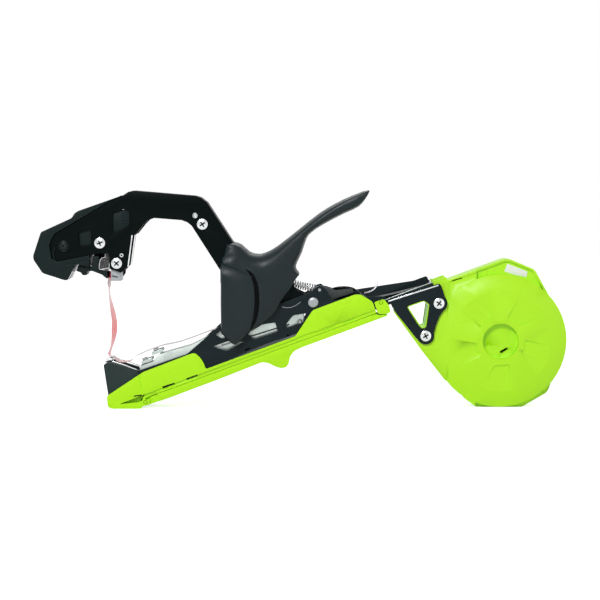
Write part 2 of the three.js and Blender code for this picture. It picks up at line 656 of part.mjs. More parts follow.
// Reel case and lid: a shallow round box with a straight top edge for the hinge
const reelGroup = new THREE.Group();
reelGroup.position.set(reelCentre[0], 0, reelCentre[1]);
tool.add(reelGroup);
const floorLevel = armToTool(chin)[1];
const footDrop = floorLevel - reelCentre[1];
const cup = { inner: 13.1, outer: 15.1, level: -7 };
const depth = { face: -11.8, rim: -8, plate: -4, split: 1, far: 10.5 };
const lidSwing = 1.5; // room at the lid's straight edge as it swings up
const barrel = { radius: 1.7, pin: 0.8, room: 0.9 };
{
  const hingeShares = [[-0.4, 0.454], [0.031, 0.612]];
  const [hingeStart, hingeEnd] = scaled(hingeShares, reel.height, reel.height);
  const upperShares = [[0.072, 0.612], [0.249, 0.539], [0.269, 0.515], [0.363, 0.348], [0.442, 0.236]];
  const frontFoot = scaled([[-0.27, -0.43], [-0.42, -0.18]], reel.height, reel.height);
  const rearFoot = scaled([[0.411, -0.266], [0.379, -0.371], [0.359, -0.4]], reel.height, reel.height);
  const footLine = scaled([[0.178, 0], [-0.165, 0]], reel.height, reel.height).map(([x]) => [x, footDrop]);
  const foot = [...rearFoot, ...footLine, ...frontFoot];
  const mouthLow = armToReel([frameRear + fit, frameFloor - fit - sheet - fit]);
  const mouthHigh = armToReel([frameRear + 2 * fit, -0.29 * arm.depth]);
  const upper = scaled(upperShares, reel.height, reel.height);
  const tab = scaled([[-0.497, 0.452], [-0.41, 0.486]], reel.height, reel.height);
  const edge = [mouthLow, mouthHigh, ...tab, hingeStart, hingeEnd, ...upper, ...foot];
  const silhouette = rounded(edge, corner);
  const lugTop = frameFloor - 2 * fit - sheet;
  const lugOutline = rounded([
    ...scaled([[-0.591, -0.068], [-0.79, 0.204]], reel.height, reel.height),
    armToReel([0.272 * arm.span, lugTop]), armToReel([frameRear - sheet, lugTop]),
    ...scaled([[-0.4, 0.3], [-0.39, -0.1], [-0.405, -0.305]], reel.height, reel.height),
  ], corner);

  const bossFace = [
    [0, depth.face], [reel.face, depth.face], [reel.radius, depth.rim],
    [reel.radius, depth.far], [0, depth.far],
  ];
  const hollowFace = [
    [0, depth.face + wall], [reel.face - wall / 2, depth.face + wall], [reel.radius - wall, depth.rim + wall],
    [reel.radius - wall, depth.far - wall], [0, depth.far - wall],
  ];
  const origin = [0, 0];
  // The plate behind the round face lies lower beyond it, with a raised rim along its upper edges,
  // and a little lower in front of it, where the tape runs behind the plate
  const stepFrom = -0.18 * reel.height;
  const shallow = { from: -0.385 * reel.height, deep: 0.6 };
  const rimFoot = 0.2 * reel.height;
  const outside = disc(origin, reel.radius, -over, over, 48);
  const rimWidth = 1.5;
  const lowered = join(
    box(stepFrom, over * 3, -over, depth.plate, -over * 3, rimFoot),
    common(
      plate(inset(edge, rimWidth), -over, depth.plate),
      box(stepFrom, over * 3, -over, depth.plate, 0, over * 3),
    ),
  );
  const rimTop = box(stepFrom, over * 3, -over, depth.plate - rimWidth, -over * 3, over * 3);
  const eased = common(
    plate(inset(edge, rimWidth), -over, depth.rim + shallow.deep),
    box(shallow.from, stepFrom + fit, -over, over, 0, over * 3),
  );
  const recess = cut(join(lowered, rimTop, eased), outside);
  const whole = cut(join(
    turned(origin, bossFace, 48),
    plate(silhouette, depth.rim, depth.far),
  ), recess);
  const hollow = join(
    turned(origin, hollowFace, 48),
    cut(
      plate(inset(edge, wall), depth.rim + wall, depth.far - wall),
      box(stepFrom - wall, over * 3, -over, depth.plate + wall, -over * 3, over * 3),
    ),
  );
  const shell = cut(whole, hollow);

  // Distances along the hinge edge and above it
  const way = new THREE.Vector2(hingeEnd[0] - hingeStart[0], hingeEnd[1] - hingeStart[1]);
  const edgeLength = way.length();
  way.normalize();
  const alongEdge = (distance, lift) => [
    hingeStart[0] + way.x * distance - way.y * lift, hingeStart[1] + way.y * distance + way.x * lift,
  ];

  // The lid is the far half, up to a straight edge clear of the bracket and up to the hinge line
  const lidEdge = -0.385 * reel.height;
  const hingeDrop = wall + barrel.radius + barrel.room;
  const lidZone = (gap, side, drop) => common(
    box(lidEdge + side, over * 3, depth.split + gap, over, -over * 3, over * 3),
    plate([
      alongEdge(-over, -drop), alongEdge(over * 3, -drop),
      alongEdge(over * 3, -over * 4), alongEdge(-over, -over * 4),
    ], -over, over),
  );
  const holes = [lugLower, lugUpper].map((spot) => pin(spot, screw.shaft + fit, over, 12));
  const lugRim = 0.6;
  const lugWindow = slab(rounded(inset(bracketWindow.map(armToReel), lugRim), 2 * corner), over);
  const lug = cut(plate(lugOutline, -depth.far, depth.far), hollow, lugWindow);
  const mouth = { low: -0.425 * arm.depth, high: -0.3 * arm.depth, length: 11 };
  const slit = [
    [frameRear - fit, mouth.low], [frameRear - fit, mouth.high],
    [frameRear + mouth.length, mouth.high], [frameRear + mouth.length, mouth.low],
  ].map(armToReel);
  const slitCut = slab(slit, tape.width / 2 + tape.edge);

  // Hinge barrels under the top wall at the far face, drawn round the hinge line
  const hingeLevel = depth.far - barrel.radius;
  const along = (from, to, radius, sides = 14) => {
    const geometry = new THREE.CylinderGeometry(radius, radius, to - from, sides);
    geometry.rotateZ(Math.PI / 2);
    geometry.rotateY(-Math.atan2(way.y, way.x));
    const [x, z] = alongEdge((from + to) / 2, -hingeDrop);
    geometry.translate(x, hingeLevel, z);
    return solid(geometry);
  };
  const thirdShares = [0.08, 0.36, 0.64, 0.92];
  const [a, b, c, d] = thirdShares.map((share) => share * edgeLength);
  const pinBore = along(a - fit, d + fit, barrel.pin + fit);
  const hanger = (from, to) => plate([
    alongEdge(from, -hingeDrop), alongEdge(to, -hingeDrop),
    alongEdge(to, -wall / 2), alongEdge(from, -wall / 2),
  ], hingeLevel - barrel.radius, hingeLevel - fit);
  const roomForCase = [[a, b], [c, d]].map(([from, to]) => along(from - fit, to + fit, barrel.radius + fit));

  // Near half: recessed wedges on its face, the bearing cup in the middle, the lug under the bracket
  const wedge = { inner: 17.5, outer: 36, deep: 1 };
  const wedgeCount = 5;
  const wedgeAngles = { first: 129.3, spread: 17.2, skew: 7.3 };
  const ramp = turned(origin, [
    [0, depth.face - over], [wedge.outer, depth.face - over], [wedge.outer, depth.face],
    [wedge.inner, depth.face + wedge.deep], [0, depth.face + wedge.deep],
  ], 48);
  const wedges = Array.from({ length: wedgeCount }, (_, index) => {
    const middle = wedgeAngles.first - (index * 360) / wedgeCount;
    const arc = (radius, from, to) => [0, 1, 2, 3, 4].map((step) => {
      const angle = THREE.MathUtils.degToRad(from + ((to - from) * step) / 4);
      return [radius * Math.cos(angle), radius * Math.sin(angle)];
    });
    const { spread, skew } = wedgeAngles;
    const outline = [
      ...arc(wedge.inner, middle - spread, middle + spread),
      ...arc(wedge.outer + corner, middle + spread - skew, middle - spread - skew),
    ];
    return common(plate(rounded(outline, corner, 2), depth.face - over, depth.face + wedge.deep), ramp);
  });
  const cupOuter = pin(origin, cup.outer, over);
  const cupBody = common(cupOuter, box(-over, over, depth.face, depth.far - wall - 2 * fit, -over, over));
  const cupHole = disc(origin, cup.inner, depth.face - over, cup.level);
  const cupBack = disc(origin, cup.inner, cup.level + wall, over);
  const key = { length: 6.2, width: 1.8, x: 3.1, z: -7.2, angle: 32 };
  const keySlot = slab([[-1, -1], [1, -1], [1, 1], [-1, 1]].map(([side, up]) => {
    const spot = new THREE.Vector2((side * key.length) / 2, (up * key.width) / 2);
    spot.rotateAround(new THREE.Vector2(), THREE.MathUtils.degToRad(key.angle));
    return [key.x + spot.x, key.z + spot.y];
  }), over);
  const caseZone = lidZone(0, 0, wall);
  const caseBarrels = [[a, b], [c, d]].flatMap(([from, to]) => [
    along(from, to, barrel.radius), hanger(from, to),
  ]);
  const bodyJoined = join(cut(shell, caseZone), cut(lug, caseZone), cupBody, ...caseBarrels);
  const nearHalf = cut(bodyJoined, cupHole, cupBack, keySlot, pinBore, slitCut, ...holes, ...wedges);
  addMesh(reelGroup, 'reel_case', nearHalf, green);

  const lidShell = cut(common(shell, lidZone(fit, lidSwing, hingeDrop)), ...roomForCase);
  const spigot = { radius: cup.inner - 2 * fit, end: tape.width / 2 + fit };
  const lidBarrel = along(b + fit, c - fit, barrel.radius);
  const lidHub = disc(origin, spigot.radius, spigot.end, depth.far - wall / 2);
  addMesh(reelGroup, 'reel_lid', cut(join(lidShell, lidBarrel, lidHub), pinBore, slitCut), green);
  addMesh(reelGroup, 'lid_hinge_pin', along(a, d, barrel.pin), zinc);
}

// Spool core and the roll of tape
const roll = { core: 17.5, radius: 36 };
{
  const half = tape.width / 2;
  const bore = cup.outer + fit;
  const ring = (inner, outer, width) => cut(pin([0, 0], outer, width, 48), pin([0, 0], inner, over, 48));
  addMesh(reelGroup, 'spool_core', ring(bore, roll.core, half - fit), slate);
  addMesh(reelGroup, 'tape_roll', ring(roll.core + fit, roll.radius, half), tapePink);
}

// Tape: from the roll through the rear channel and over the rail to the guide at the tip
function strip(points, twist = () => 0) {
  const half = tape.width / 2;
  const thin = tape.thick / 2;
  const spots = points.map(([x, z]) => new THREE.Vector3(x, 0, z));
  const curve = new THREE.CatmullRomCurve3(spots, false, 'centripetal');
  const steps = Math.min(points.length * 4, 60);
  const path = curve.getPoints(steps).map((spot) => spot.toArray());
  return sweep(path, (share) => {
    const angle = THREE.MathUtils.degToRad(twist(share));
    return [[half, thin], [-half, thin], [-half, -thin], [half, -thin]].map(([a, b]) => [
      a * Math.cos(angle) - b * Math.sin(angle), a * Math.sin(angle) + b * Math.cos(angle),
    ]);
  });
}
const tapeTop = [guideBar[0] + fit, guideBar[1] + guide.bar + fit + tape.thick];
{
  const leave = 83;
  const angle = THREE.MathUtils.degToRad(leave);
  const radius = roll.radius + fit + tape.thick;
  const start = reelToArm([radius * Math.cos(angle), radius * Math.sin(angle)]);
  const routeShares = [
    [0.45, -0.375], [0.4, -0.35], [0.26, -0.285], [0.2, -0.24], [0.18, -0.17], [0.15, -0.03], [0.1, 0.045],
    [0.06, 0.07], [0.03, 0.068], [0, 0.068],
    [-0.05, 0.07], [-0.12, 0.1], [-0.24, 0.115], [-0.36, 0.118], [-0.5, 0.12], [-0.58, 0.16], [-0.67, 0.15],
    [-0.7, 0.11], [-0.74, 0.15],
  ];
  const route = [start, ...onArm(routeShares), [guideBar[0] + guide.length / 2, guideBar[1] + tape.thick]];
  const turn = { angle: 22, middle: 0.34, spread: 0.1 };
  const twist = (share) => {
    const away = Math.min(Math.abs(share - turn.middle) / turn.spread, 1);
    return (turn.angle * (1 + Math.cos(Math.PI * away))) / 2;
  };
  addMesh(armGroup, 'tape_lead', strip(route, twist), tapePink);
}
{
  const [x0, z0] = armToTool(tapeTop);
  const catchFoot = onLever([[-0.7405, 0.222]])[0];
  const hang = 13; // the tape hangs plumb below the catch, clear of the clincher
  const [knee, half] = [hang, hang / 2].map((drop) => [catchFoot[0], catchFoot[1] - drop]);
  const sagShares = [[0, 0.02], [0.012, 0.25], [0.014, 0.5], [0.009, 0.75]];
  const route = sagShares.map(([out, up]) => [
    x0 + (knee[0] - x0) * up + out * lever.reach, z0 + (knee[1] - z0) * up,
  ]);
  const twist = (share) => 16 * Math.sin(Math.PI * share);
  addMesh(tool, 'tape_span', strip([...route, knee, half, catchFoot], twist), tapePink);
}

// Return spring between the lever's pin and the frame's pin
const leverPinSpot = onLever([[-0.0885, 0.134]])[0];
{
  const anchor = armToTool(anchorSpot);
  const way = new THREE.Vector2(anchor[0] - leverPinSpot[0], anchor[1] - leverPinSpot[1]).normalize();
  const clear = smallPin + fit;
  const coil = { radius: 2.8, wire: 0.4, turns: 8, hooked: true };
  const from = [leverPinSpot[0] + way.x * clear, leverPinSpot[1] + way.y * clear];
  const to = [anchor[0] - way.x * clear, anchor[1] - way.y * clear];
  addMesh(tool, 'return_spring', spring('return_spring', from, to, coil), zinc);
}

// Lever arm: a steel channel open below, from the head plates to the pivot ears
const headFrontSpot = onLever([[-0.7715, 0.429]])[0];
const headRearSpot = onLever([[-0.7115, 0.282]])[0];
const noseSpot = onLever([[-0.902, 0.408]])[0];
const armScrewSpot = onLever([[-0.4005, 0.565]])[0];
const armPinSpot = onLever([[-0.426, 0.627]])[0];
const leverTopShares = [
  [-0.9465, 0.45], [-0.9325, 0.496], [-0.73, 0.734], [-0.686, 0.773], [-0.667, 0.798], [-0.6475, 0.807],
  [-0.427, 0.77], [-0.4065, 0.757], [-0.3835, 0.721], [-0.338, 0.579], [-0.292, 0.437], [-0.2, 0.28],
  [-0.08, 0.2],
];
const leverRestShares = [
  [-0.0725, 0.18], [-0.067, 0.095], [-0.03, 0.06], [-0.008, 0.045], [-0.015, -0.055], [-0.07, -0.03],
  [-0.31, 0.14], [-0.338, 0.234],
  [-0.4395, 0.554], [-0.455, 0.579], [-0.4755, 0.594], [-0.5765, 0.61], [-0.5975, 0.594], [-0.6125, 0.564],
  [-0.6405, 0.495], [-0.6555, 0.479], [-0.671, 0.264], [-0.686, 0.23], [-0.697, 0.214], [-0.735, 0.24],
  [-0.7425, 0.36], [-0.8065, 0.345], [-0.924, 0.298], [-0.9455, 0.319], [-0.953, 0.413],
];
const headOutline = onLever([...leverTopShares, ...leverRestShares]);
{
  const body = channel(onLever(leverTopShares), onLever(leverRestShares), leverIn, leverOut, sheet);
  const earRadius = 6;
  const ears = join(disc(pivot, earRadius, leverIn, leverOut), disc(pivot, earRadius, -leverOut, -leverIn));
  const springRoom = box(-0.112 * lever.reach, over, -leverIn, leverIn, -over, over);
  const farShares = [
    [-0.812, 0.36], [-0.74, 0.38], [-0.7, 0.26], [-0.688, 0.235], [-0.69, 0.2], [-0.7, 0.17], [-0.706, 0.17],
    [-0.709, 0.2], [-0.735, 0.228], [-0.79, 0.232],
  ];
  const farPlate = plate(onLever(farShares), leverIn, leverOut);
  const windowShares = [
    [[-0.8495, 0.508], [-0.808, 0.529], [-0.8035, 0.502], [-0.8035, 0.413], [-0.8465, 0.408]],
    [[-0.7245, 0.652], [-0.686, 0.674], [-0.664, 0.662], [-0.664, 0.557], [-0.6995, 0.518], [-0.7245, 0.502]],
  ];
  const windows = windowShares.map((shares) => slab(rounded(onLever(shares), corner), over));
  const screwSpots = [headFrontSpot, headRearSpot, noseSpot, armScrewSpot];
  const holes = screwSpots.map((spot) => pin(spot, screw.shaft + fit, over, 12));
  const pins = [armPinSpot, leverPinSpot].map((spot) => pin(spot, smallPin + fit, over, 12));
  const pivotHole = pin(pivot, rivet.radius + fit, over);
  const plates = join(body, ears, farPlate);
  addMesh(tool, 'lever_arm', cut(plates, springRoom, ...windows, ...holes, ...pins, pivotHole), blackSteel);
}

// Nose cover: the black cap round the front and the top of the head, with a tongue between the plates
{
  const shares = [
    [-1.013, 0.336], [-1.0115, 0.308], [-0.9795, 0.211], [-0.899, 0.159], [-0.8885, 0.161], [-0.8635, 0.269],
    [-0.852, 0.274], [-0.81, 0.256], [-0.81, 0.42], [-0.7, 0.7], [-0.689, 0.776], [-0.6995, 0.765],
    [-0.8465, 0.662],
    [-0.8605, 0.646], [-0.8715, 0.61], [-0.9835, 0.508],
  ];
  const gap = inset(headOutline, -fit);
  const shell = cut(slab(rounded(onLever(shares), corner), leverOut + tape.edge), slab(gap, over));
  const tongueHalf = leverIn - fit;
  const tongueShares = [[-0.962, 0.348], [-0.877, 0.358], [-0.877, 0.458], [-0.962, 0.418]];
  const tongue = slab(rounded(onLever(tongueShares), corner), tongueHalf);
  const hole = pin(noseSpot, screw.shaft + fit, over, 12);
  addMesh(tool, 'nose_cover', cut(join(shell, tongue), hole), noseSlate);
}

// Screws of the lever: a head on the near side, a plain end riveted over on the far side
function leverScrew(name, spot, headRadius, finish) {
  const face = leverOut + fit;
  const head = disc(spot, headRadius, -face - screw.headHeight, -face);
  const shaft = disc(spot, screw.shaft, -face - screw.headHeight / 2, face + screw.headHeight / 2, 12);
  const end = disc(spot, screw.nut, face, face + screw.headHeight, 6);
  addMesh(tool, name, join(head, shaft, end), finish);
}
leverScrew('head_screw_front', headFrontSpot, screw.head, zinc);
leverScrew('head_screw_rear', headRearSpot, screw.head, zinc);
leverScrew('nose_screw', noseSpot, screw.nut, blackSteel);
leverScrew('arm_screw', armScrewSpot, screw.head, zinc);
addMesh(tool, 'arm_pin', pin(armPinSpot, smallPin, leverOut + fit, 12), zinc);
addMesh(tool, 'lever_spring_pin', pin(leverPinSpot, smallPin, leverOut, 12), zinc);

// Head block: the moulding between the head plates that shows in their windows
{
  const shares = [
    [-0.86, 0.39], [-0.86, 0.5], [-0.76, 0.64], [-0.655, 0.69], [-0.655, 0.53], [-0.74, 0.39],
  ];
  const block = slab(rounded(onLever(shares), corner), leverIn - fit);
  addMesh(tool, 'head_block', cut(block, pin(headFrontSpot, screw.shaft + fit, over, 12)), slate);
}

// Spacer that keeps the plates apart at the arm screw
{
  const tube = pin(armScrewSpot, screw.shaft + fit + sheet, leverIn - fit, 16);
  addMesh(tool, 'arm_spacer', cut(tube, pin(armScrewSpot, screw.shaft + fit, over, 12)), darkZinc);
}

// Clincher: the bright anvil that folds the staple's legs
{
  const [low] = onLever([[-0.7345, 0.153]]);
  const [high] = onLever([[-0.6975, 0.242]]);
  const block = box(low[0], high[0], -railHalf, railHalf, low[1], high[1]);
  const groove = { half: 4.8, width: 1.4, deep: 0.8 };
  const front = (low[0] + high[0] - groove.width) / 2;
  const folds = box(
    front, front + groove.width, -groove.half, groove.half, low[1] - over, low[1] + groove.deep,
  );
  addMesh(tool, 'clincher', cut(block, folds), zinc);
}

// Cutter holder with its toothed blade
{
  const shares = [
    [-0.861, 0.226], [-0.844, 0.214], [-0.837, 0.194], [-0.8245, 0.194], [-0.819, 0.222], [-0.802, 0.225],
    [-0.7665, 0.197], [-0.7495, 0.169], [-0.748, 0.175], [-0.748, 0.222], [-0.778, 0.226], [-0.778, 0.335],
    [-0.8, 0.335], [-0.806, 0.249], [-0.853, 0.268],
  ];
  const slotAt = -0.764 * lever.reach;
  const blade = { thick: 0.5, half: 5.6, low: 0.172 * lever.height, high: 0.216 * lever.height, pitch: 1.4 };
  const room = box(
    slotAt - fit, slotAt + blade.thick + fit, -blade.half - fit, blade.half + fit,
    -over, blade.high + fit,
  );
  addMesh(tool, 'cutter_holder', cut(slab(onLever(shares), railHalf), room), blackSteel);
  const count = Math.floor((2 * blade.half) / blade.pitch);
  const profile = [[blade.half, blade.high], [-blade.half, blade.high]];
  for (let tooth = 0; tooth <= count; tooth += 1) {
    const y = -blade.half + tooth * blade.pitch;
    profile.push([y, blade.low + blade.pitch]);
    if (tooth < count) profile.push([y + blade.pitch / 2, blade.low]);
  }
  const shape = new THREE.Shape(profile.map(([y, z]) => new THREE.Vector2(y, z)));
  const geometry = new THREE.ExtrudeGeometry(shape, { depth: blade.thick, bevelEnabled: false });
  geometry.rotateX(Math.PI / 2);
  geometry.rotateZ(Math.PI / 2);
  geometry.translate(slotAt, 0, 0);
  addMesh(tool, 'cutter_blade', solid(geometry), zinc);
}

// Tape catch: the clear jaw that holds the end of the tape, hung on the rear head screw
{
  const jawShares = [
    [-0.7745, 0.313], [-0.7745, 0.238], [-0.742, 0.23], [-0.741, 0.36], [-0.752, 0.363], [-0.755, 0.318],
  ];
  const armShares = [[-0.745, 0.33], [-0.705, 0.316], [-0.705, 0.262], [-0.745, 0.262]];
  const half = railHalf - fit;
  const jaw = slab(rounded(onLever(jawShares), corner), half);
  const link = slab(onLever(armShares), half);
  const eye = pin(headRearSpot, screw.shaft + fit + sheet, half, 16);
  const hole = pin(headRearSpot, screw.shaft + fit, over, 12);
  addMesh(tool, 'tape_catch', cut(join(jaw, link, eye), hole), clear);
}

// Handle: the moulded grip over the lever, with two skirts that straddle the arm and a horn behind
{
  const shares = [
    [-0.29, 0.432], [-0.262, 0.416], [-0.2315, 0.362], [-0.2055, 0.346], [-0.1785, 0.351], [-0.136, 0.394],
    [-0.067, 0.5], [0.0125, 0.627], [0.066, 0.696], [0.13, 0.76], [0.195, 0.808], [0.2, 0.79], [0.184, 0.734],
    [0.16, 0.685], [0.103, 0.633], [0.0285, 0.553], [-0.0085, 0.5], [-0.0245, 0.458], [-0.0405, 0.362],
    [-0.058, 0.287], [-0.0625, 0.256], [-0.0595, 0.232], [-0.05, 0.205], [-0.0545, 0.19], [-0.067, 0.154],
    [-0.0775, 0.106], [-0.1105, 0.023],
    [-0.1355, -0.071], [-0.1685, -0.132], [-0.2075, -0.182], [-0.2405, -0.243], [-0.271, -0.298],
    [-0.285, -0.309], [-0.307, -0.281], [-0.3295, -0.232], [-0.3375, -0.176], [-0.3375, 0.256],
    [-0.3245, 0.351], [-0.314, 0.426],
  ];
  const curve = new THREE.SplineCurve(onLever(shares).map(([x, z]) => new THREE.Vector2(x, z)));
  const smooth = curve.getPoints(74).map((spot) => [spot.x, spot.y]);
  const fullLevel = 0.34 * lever.height;
  const skirtShare = 0.1;
  const upper = (spot) => THREE.MathUtils.smoothstep(spot.y, 0.5 * fullLevel, fullLevel);
  const bodyRound = { draw: 12, drop: 11 };
  const body = softSlab(smooth, handleOut, bodyRound, (spot) => skirtShare + (1 - skirtShare) * upper(spot));
  const padShares = [
    [-0.333, 0.287], [-0.29, 0.258], [-0.25, 0.228], [-0.222, 0.204], [-0.206, 0.155], [-0.196, 0.075],
    [-0.195, -0.03], [-0.203, -0.11], [-0.2225, -0.19], [-0.2515, -0.262], [-0.285, -0.3], [-0.307, -0.272],
    [-0.328, -0.225], [-0.333, -0.17], [-0.333, 0], [-0.333, 0.15],
  ];
  const padCurve = new THREE.SplineCurve(onLever(padShares).map(([x, z]) => new THREE.Vector2(x, z)));
  const padEdge = padCurve.getPoints(48).map((spot) => [spot.x, spot.y]);
  const padMiddle = -0.27 * lever.reach;
  const frontShare = 0.25;
  const rear = (spot) => THREE.MathUtils.smoothstep(spot.x, padMiddle, padMiddle + 2 * grip.wall * grip.pad);
  const padRound = { draw: 5, drop: 2 * grip.pad, steps: 3 };
  const pad = softSlab(padEdge, padOut, padRound, (spot) => frontShare + (1 - frontShare) * rear(spot));
  const skirtRoof = 0.14 * lever.height;
  const skirt = box(-over * 3, over * 3, -handleIn, handleIn, -over * 3, skirtRoof);
  const top = onLever(leverTopShares.slice(-5)).map(([x, z]) => [x, z + fit]);
  const slot = [
    [top[0][0] - over, top[0][1]], ...top, [top.at(-1)[0] + over, top.at(-1)[1]],
    [top.at(-1)[0] + over, -over * 3], [top[0][0] - over, -over * 3],
  ];
  addMesh(tool, 'handle', cut(join(body, pad), skirt, slab(slot, leverOut + fit)), slate);
}

// Tape wire: the bent wire from the far wall across the rear channel that keeps the tape down
{
  const wire = 0.6;
  const near = -tape.width / 2 + wire;
  const shares = [[0.19, -0.15], [0.19, -0.15], [0.2155, -0.146], [0.235, -0.106], [0.2435, -0.03]];
  const sides = [frameIn - fit, near / 2, near, near, near];
  const route = onArm(shares).map(([u, v], index) => new THREE.Vector3(u, sides[index], v));
  const curve = new THREE.CatmullRomCurve3(route, false, 'centripetal');
  const points = curve.getPoints(20).map((spot) => spot.toArray());
  addMesh(armGroup, 'tape_wire', sweep(points, circle(wire, 6)), zinc);
}

// Stand the tool on its chin and foot, with the origin below its middle
tool.updateMatrixWorld(true);
const bounds = new THREE.Box3().setFromObject(tool, true);
const middle = bounds.getCenter(new THREE.Vector3());
tool.position.set(-middle.x, -middle.y, -bounds.min.z);

const part = new THREE.Group();
part.add(tool);
export default part;
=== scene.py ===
# Plant tying tool with a lever head, a staple magazine and a tape reel.
# Metres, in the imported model's frame: +X toward the reel, +Z up, the near side faces -Y.
import json
import math

import bmesh
import bpy
from mathutils import Matrix, Vector
from mathutils.bvhtree import BVHTree


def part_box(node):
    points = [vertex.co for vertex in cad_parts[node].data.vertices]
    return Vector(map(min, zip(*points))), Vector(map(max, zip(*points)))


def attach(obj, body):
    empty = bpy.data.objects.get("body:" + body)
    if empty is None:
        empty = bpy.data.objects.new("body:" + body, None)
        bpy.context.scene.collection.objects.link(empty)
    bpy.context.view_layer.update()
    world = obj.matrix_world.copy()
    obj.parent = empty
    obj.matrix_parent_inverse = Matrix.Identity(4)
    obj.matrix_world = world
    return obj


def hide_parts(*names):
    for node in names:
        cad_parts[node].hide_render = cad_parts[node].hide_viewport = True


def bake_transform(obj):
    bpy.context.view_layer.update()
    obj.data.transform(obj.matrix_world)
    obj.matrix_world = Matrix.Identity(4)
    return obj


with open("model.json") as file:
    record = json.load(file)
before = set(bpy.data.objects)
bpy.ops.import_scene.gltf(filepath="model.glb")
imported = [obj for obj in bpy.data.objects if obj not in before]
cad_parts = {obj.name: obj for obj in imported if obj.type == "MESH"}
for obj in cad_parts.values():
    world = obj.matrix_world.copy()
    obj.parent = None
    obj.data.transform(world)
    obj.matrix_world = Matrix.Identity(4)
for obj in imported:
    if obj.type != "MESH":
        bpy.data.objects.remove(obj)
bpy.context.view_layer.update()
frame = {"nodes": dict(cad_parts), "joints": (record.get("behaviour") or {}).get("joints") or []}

# Camera: a long lens a metre from the tool, on its near side and 5 degrees above its middle.
# It looks at the middle of the photograph.
view_centre = Vector((-0.0006, -0.011, 0.0793))
view_width = 0.4344
view_distance = 1.0
view_rise = math.radians(5.0)


def linked(name, data):
    """A new object of the scene that holds the data."""
    item = bpy.data.objects.new(name, data)
    bpy.context.scene.collection.objects.link(item)
    return item


lens = bpy.data.cameras.new("camera")
lens.sensor_fit = "HORIZONTAL"
lens.angle = 2 * math.atan(view_width / (2 * view_distance))
lens.clip_start = 0.01
camera = linked("camera", lens)
back_off = Vector((0.0, -math.cos(view_rise), math.sin(view_rise)))
camera.location = view_centre + view_distance * back_off
camera.rotation_euler = (math.pi / 2 - view_rise, 0.0, 0.0)
bpy.context.scene.camera = camera
bpy.context.scene.view_settings.view_transform = "Standard"

# Studio: a white sweep that only the camera, metal and glass see as white, so the object is lit
# by a soft sky and three soft boxes alone, the brightest one high on the left.
sky_level = 0.36
floor_level = 0.7
white = (1.0, 1.0, 1.0, 1.0)


def node(tree, kind, inputs=None, **settings):
    """A node with its settings, and its inputs linked to sockets or set to plain values."""
    made = tree.nodes.new(kind)
    for setting, value in settings.items():
        setattr(made, setting, value)
    for socket, value in (inputs or {}).items():
        if isinstance(value, bpy.types.NodeSocket):
            tree.links.new(value, made.inputs[socket])
        else:
            made.inputs[socket].default_value = value
    return made


def reckon(tree, operation, first, second):
    """The result of a sum on two sockets or plain values."""
    return node(tree, "ShaderNodeMath", {0: first, 1: second}, operation=operation).outputs[0]


def seen_directly(tree):
    """A mask that is 1 for camera, glossy and transmission rays."""
    path = node(tree, "ShaderNodeLightPath").outputs
    seen = reckon(tree, "MAXIMUM", path["Is Camera Ray"], path["Is Glossy Ray"])
    return reckon(tree, "MAXIMUM", seen, path["Is Transmission Ray"])


world = bpy.data.worlds.new("white_tent")
world.use_nodes = True
bpy.context.scene.world = world
tent = world.node_tree
background = tent.nodes["Background"]
background.inputs["Color"].default_value = white
level = node(tent, "ShaderNodeMapRange", {
    "Value": seen_directly(tent), "To Min": sky_level, "To Max": 1.0,
})
tent.links.new(level.outputs["Result"], background.inputs["Strength"])

sweep_size = 3.0
sweep_drop = 0.0001
sweep_grey = 0.8
sweep_mesh = bpy.data.meshes.new("sweep")
sweep_corners = [(-1, -1), (1, -1), (1, 1), (-1, 1)]
sweep_mesh.from_pydata(
    [(x * sweep_size, y * sweep_size, -sweep_drop) for x, y in sweep_corners], [], [(0, 1, 2, 3)],
)
paper = bpy.data.materials.new("white_paper")
paper.use_nodes = True
coat = paper.node_tree
coat.nodes.clear()
matte = node(coat, "ShaderNodeBsdfDiffuse", {"Color": (sweep_grey, sweep_grey, sweep_grey, 1.0)})
strength = reckon(coat, "MULTIPLY", seen_directly(coat), floor_level)
glow = node(coat, "ShaderNodeEmission", {"Color": white, "Strength": strength})
both = node(coat, "ShaderNodeAddShader", {0: matte.outputs[0], 1: glow.outputs[0]})
node(coat, "ShaderNodeOutputMaterial", {"Surface": both.outputs[0]})
sweep_mesh.materials.append(paper)
linked("sweep", sweep_mesh)


def soft_box(name, place, size, power):
    """A rectangular lamp that faces the middle of the picture."""
    lamp = bpy.data.lights.new(name, "AREA")
    lamp.shape = "RECTANGLE"
    lamp.size, lamp.size_y = size
    lamp.energy = power
    box = linked(name, lamp)
    box.location = place
    box.rotation_euler = (view_centre - Vector(place)).to_track_quat("-Z", "Y").to_euler()


soft_box("key_box", (-0.42, -1.27, 1.08), (0.32, 0.32), 17.0)
soft_box("fill_box", (0.9, -0.9, 0.35), (0.5, 0.7), 1.0)
soft_box("rim_box", (0.1, 0.9, 0.9), (0.9, 0.3), 3.0)

# Main frame: a long channel folded from 1.5 mm steel and coated in glossy black paint.
# Its two walls carry every pivot of the tool, and its windows show the magazine inside.


def shaded(mesh, crease):
    """The mesh shaded smooth, with every edge that turns more than the crease kept as an edge."""
    mesh.polygons.foreach_set("use_smooth", [True] * len(mesh.polygons))
    mesh.set_sharp_from_angle(angle=math.radians(crease))
    return mesh


def welded(mesh, gap=0.00002):
    """The mesh opened for editing, its corners joined where they lie closer than the gap."""
    shape = bmesh.new()
    shape.from_mesh(mesh)
    bmesh.ops.remove_doubles(shape, verts=shape.verts, dist=gap)
    return shape


def evaluated(item):
    """The mesh of an object as its modifiers leave it."""
    changed = item.evaluated_get(bpy.context.evaluated_depsgraph_get())
    return bpy.data.meshes.new_from_object(changed)


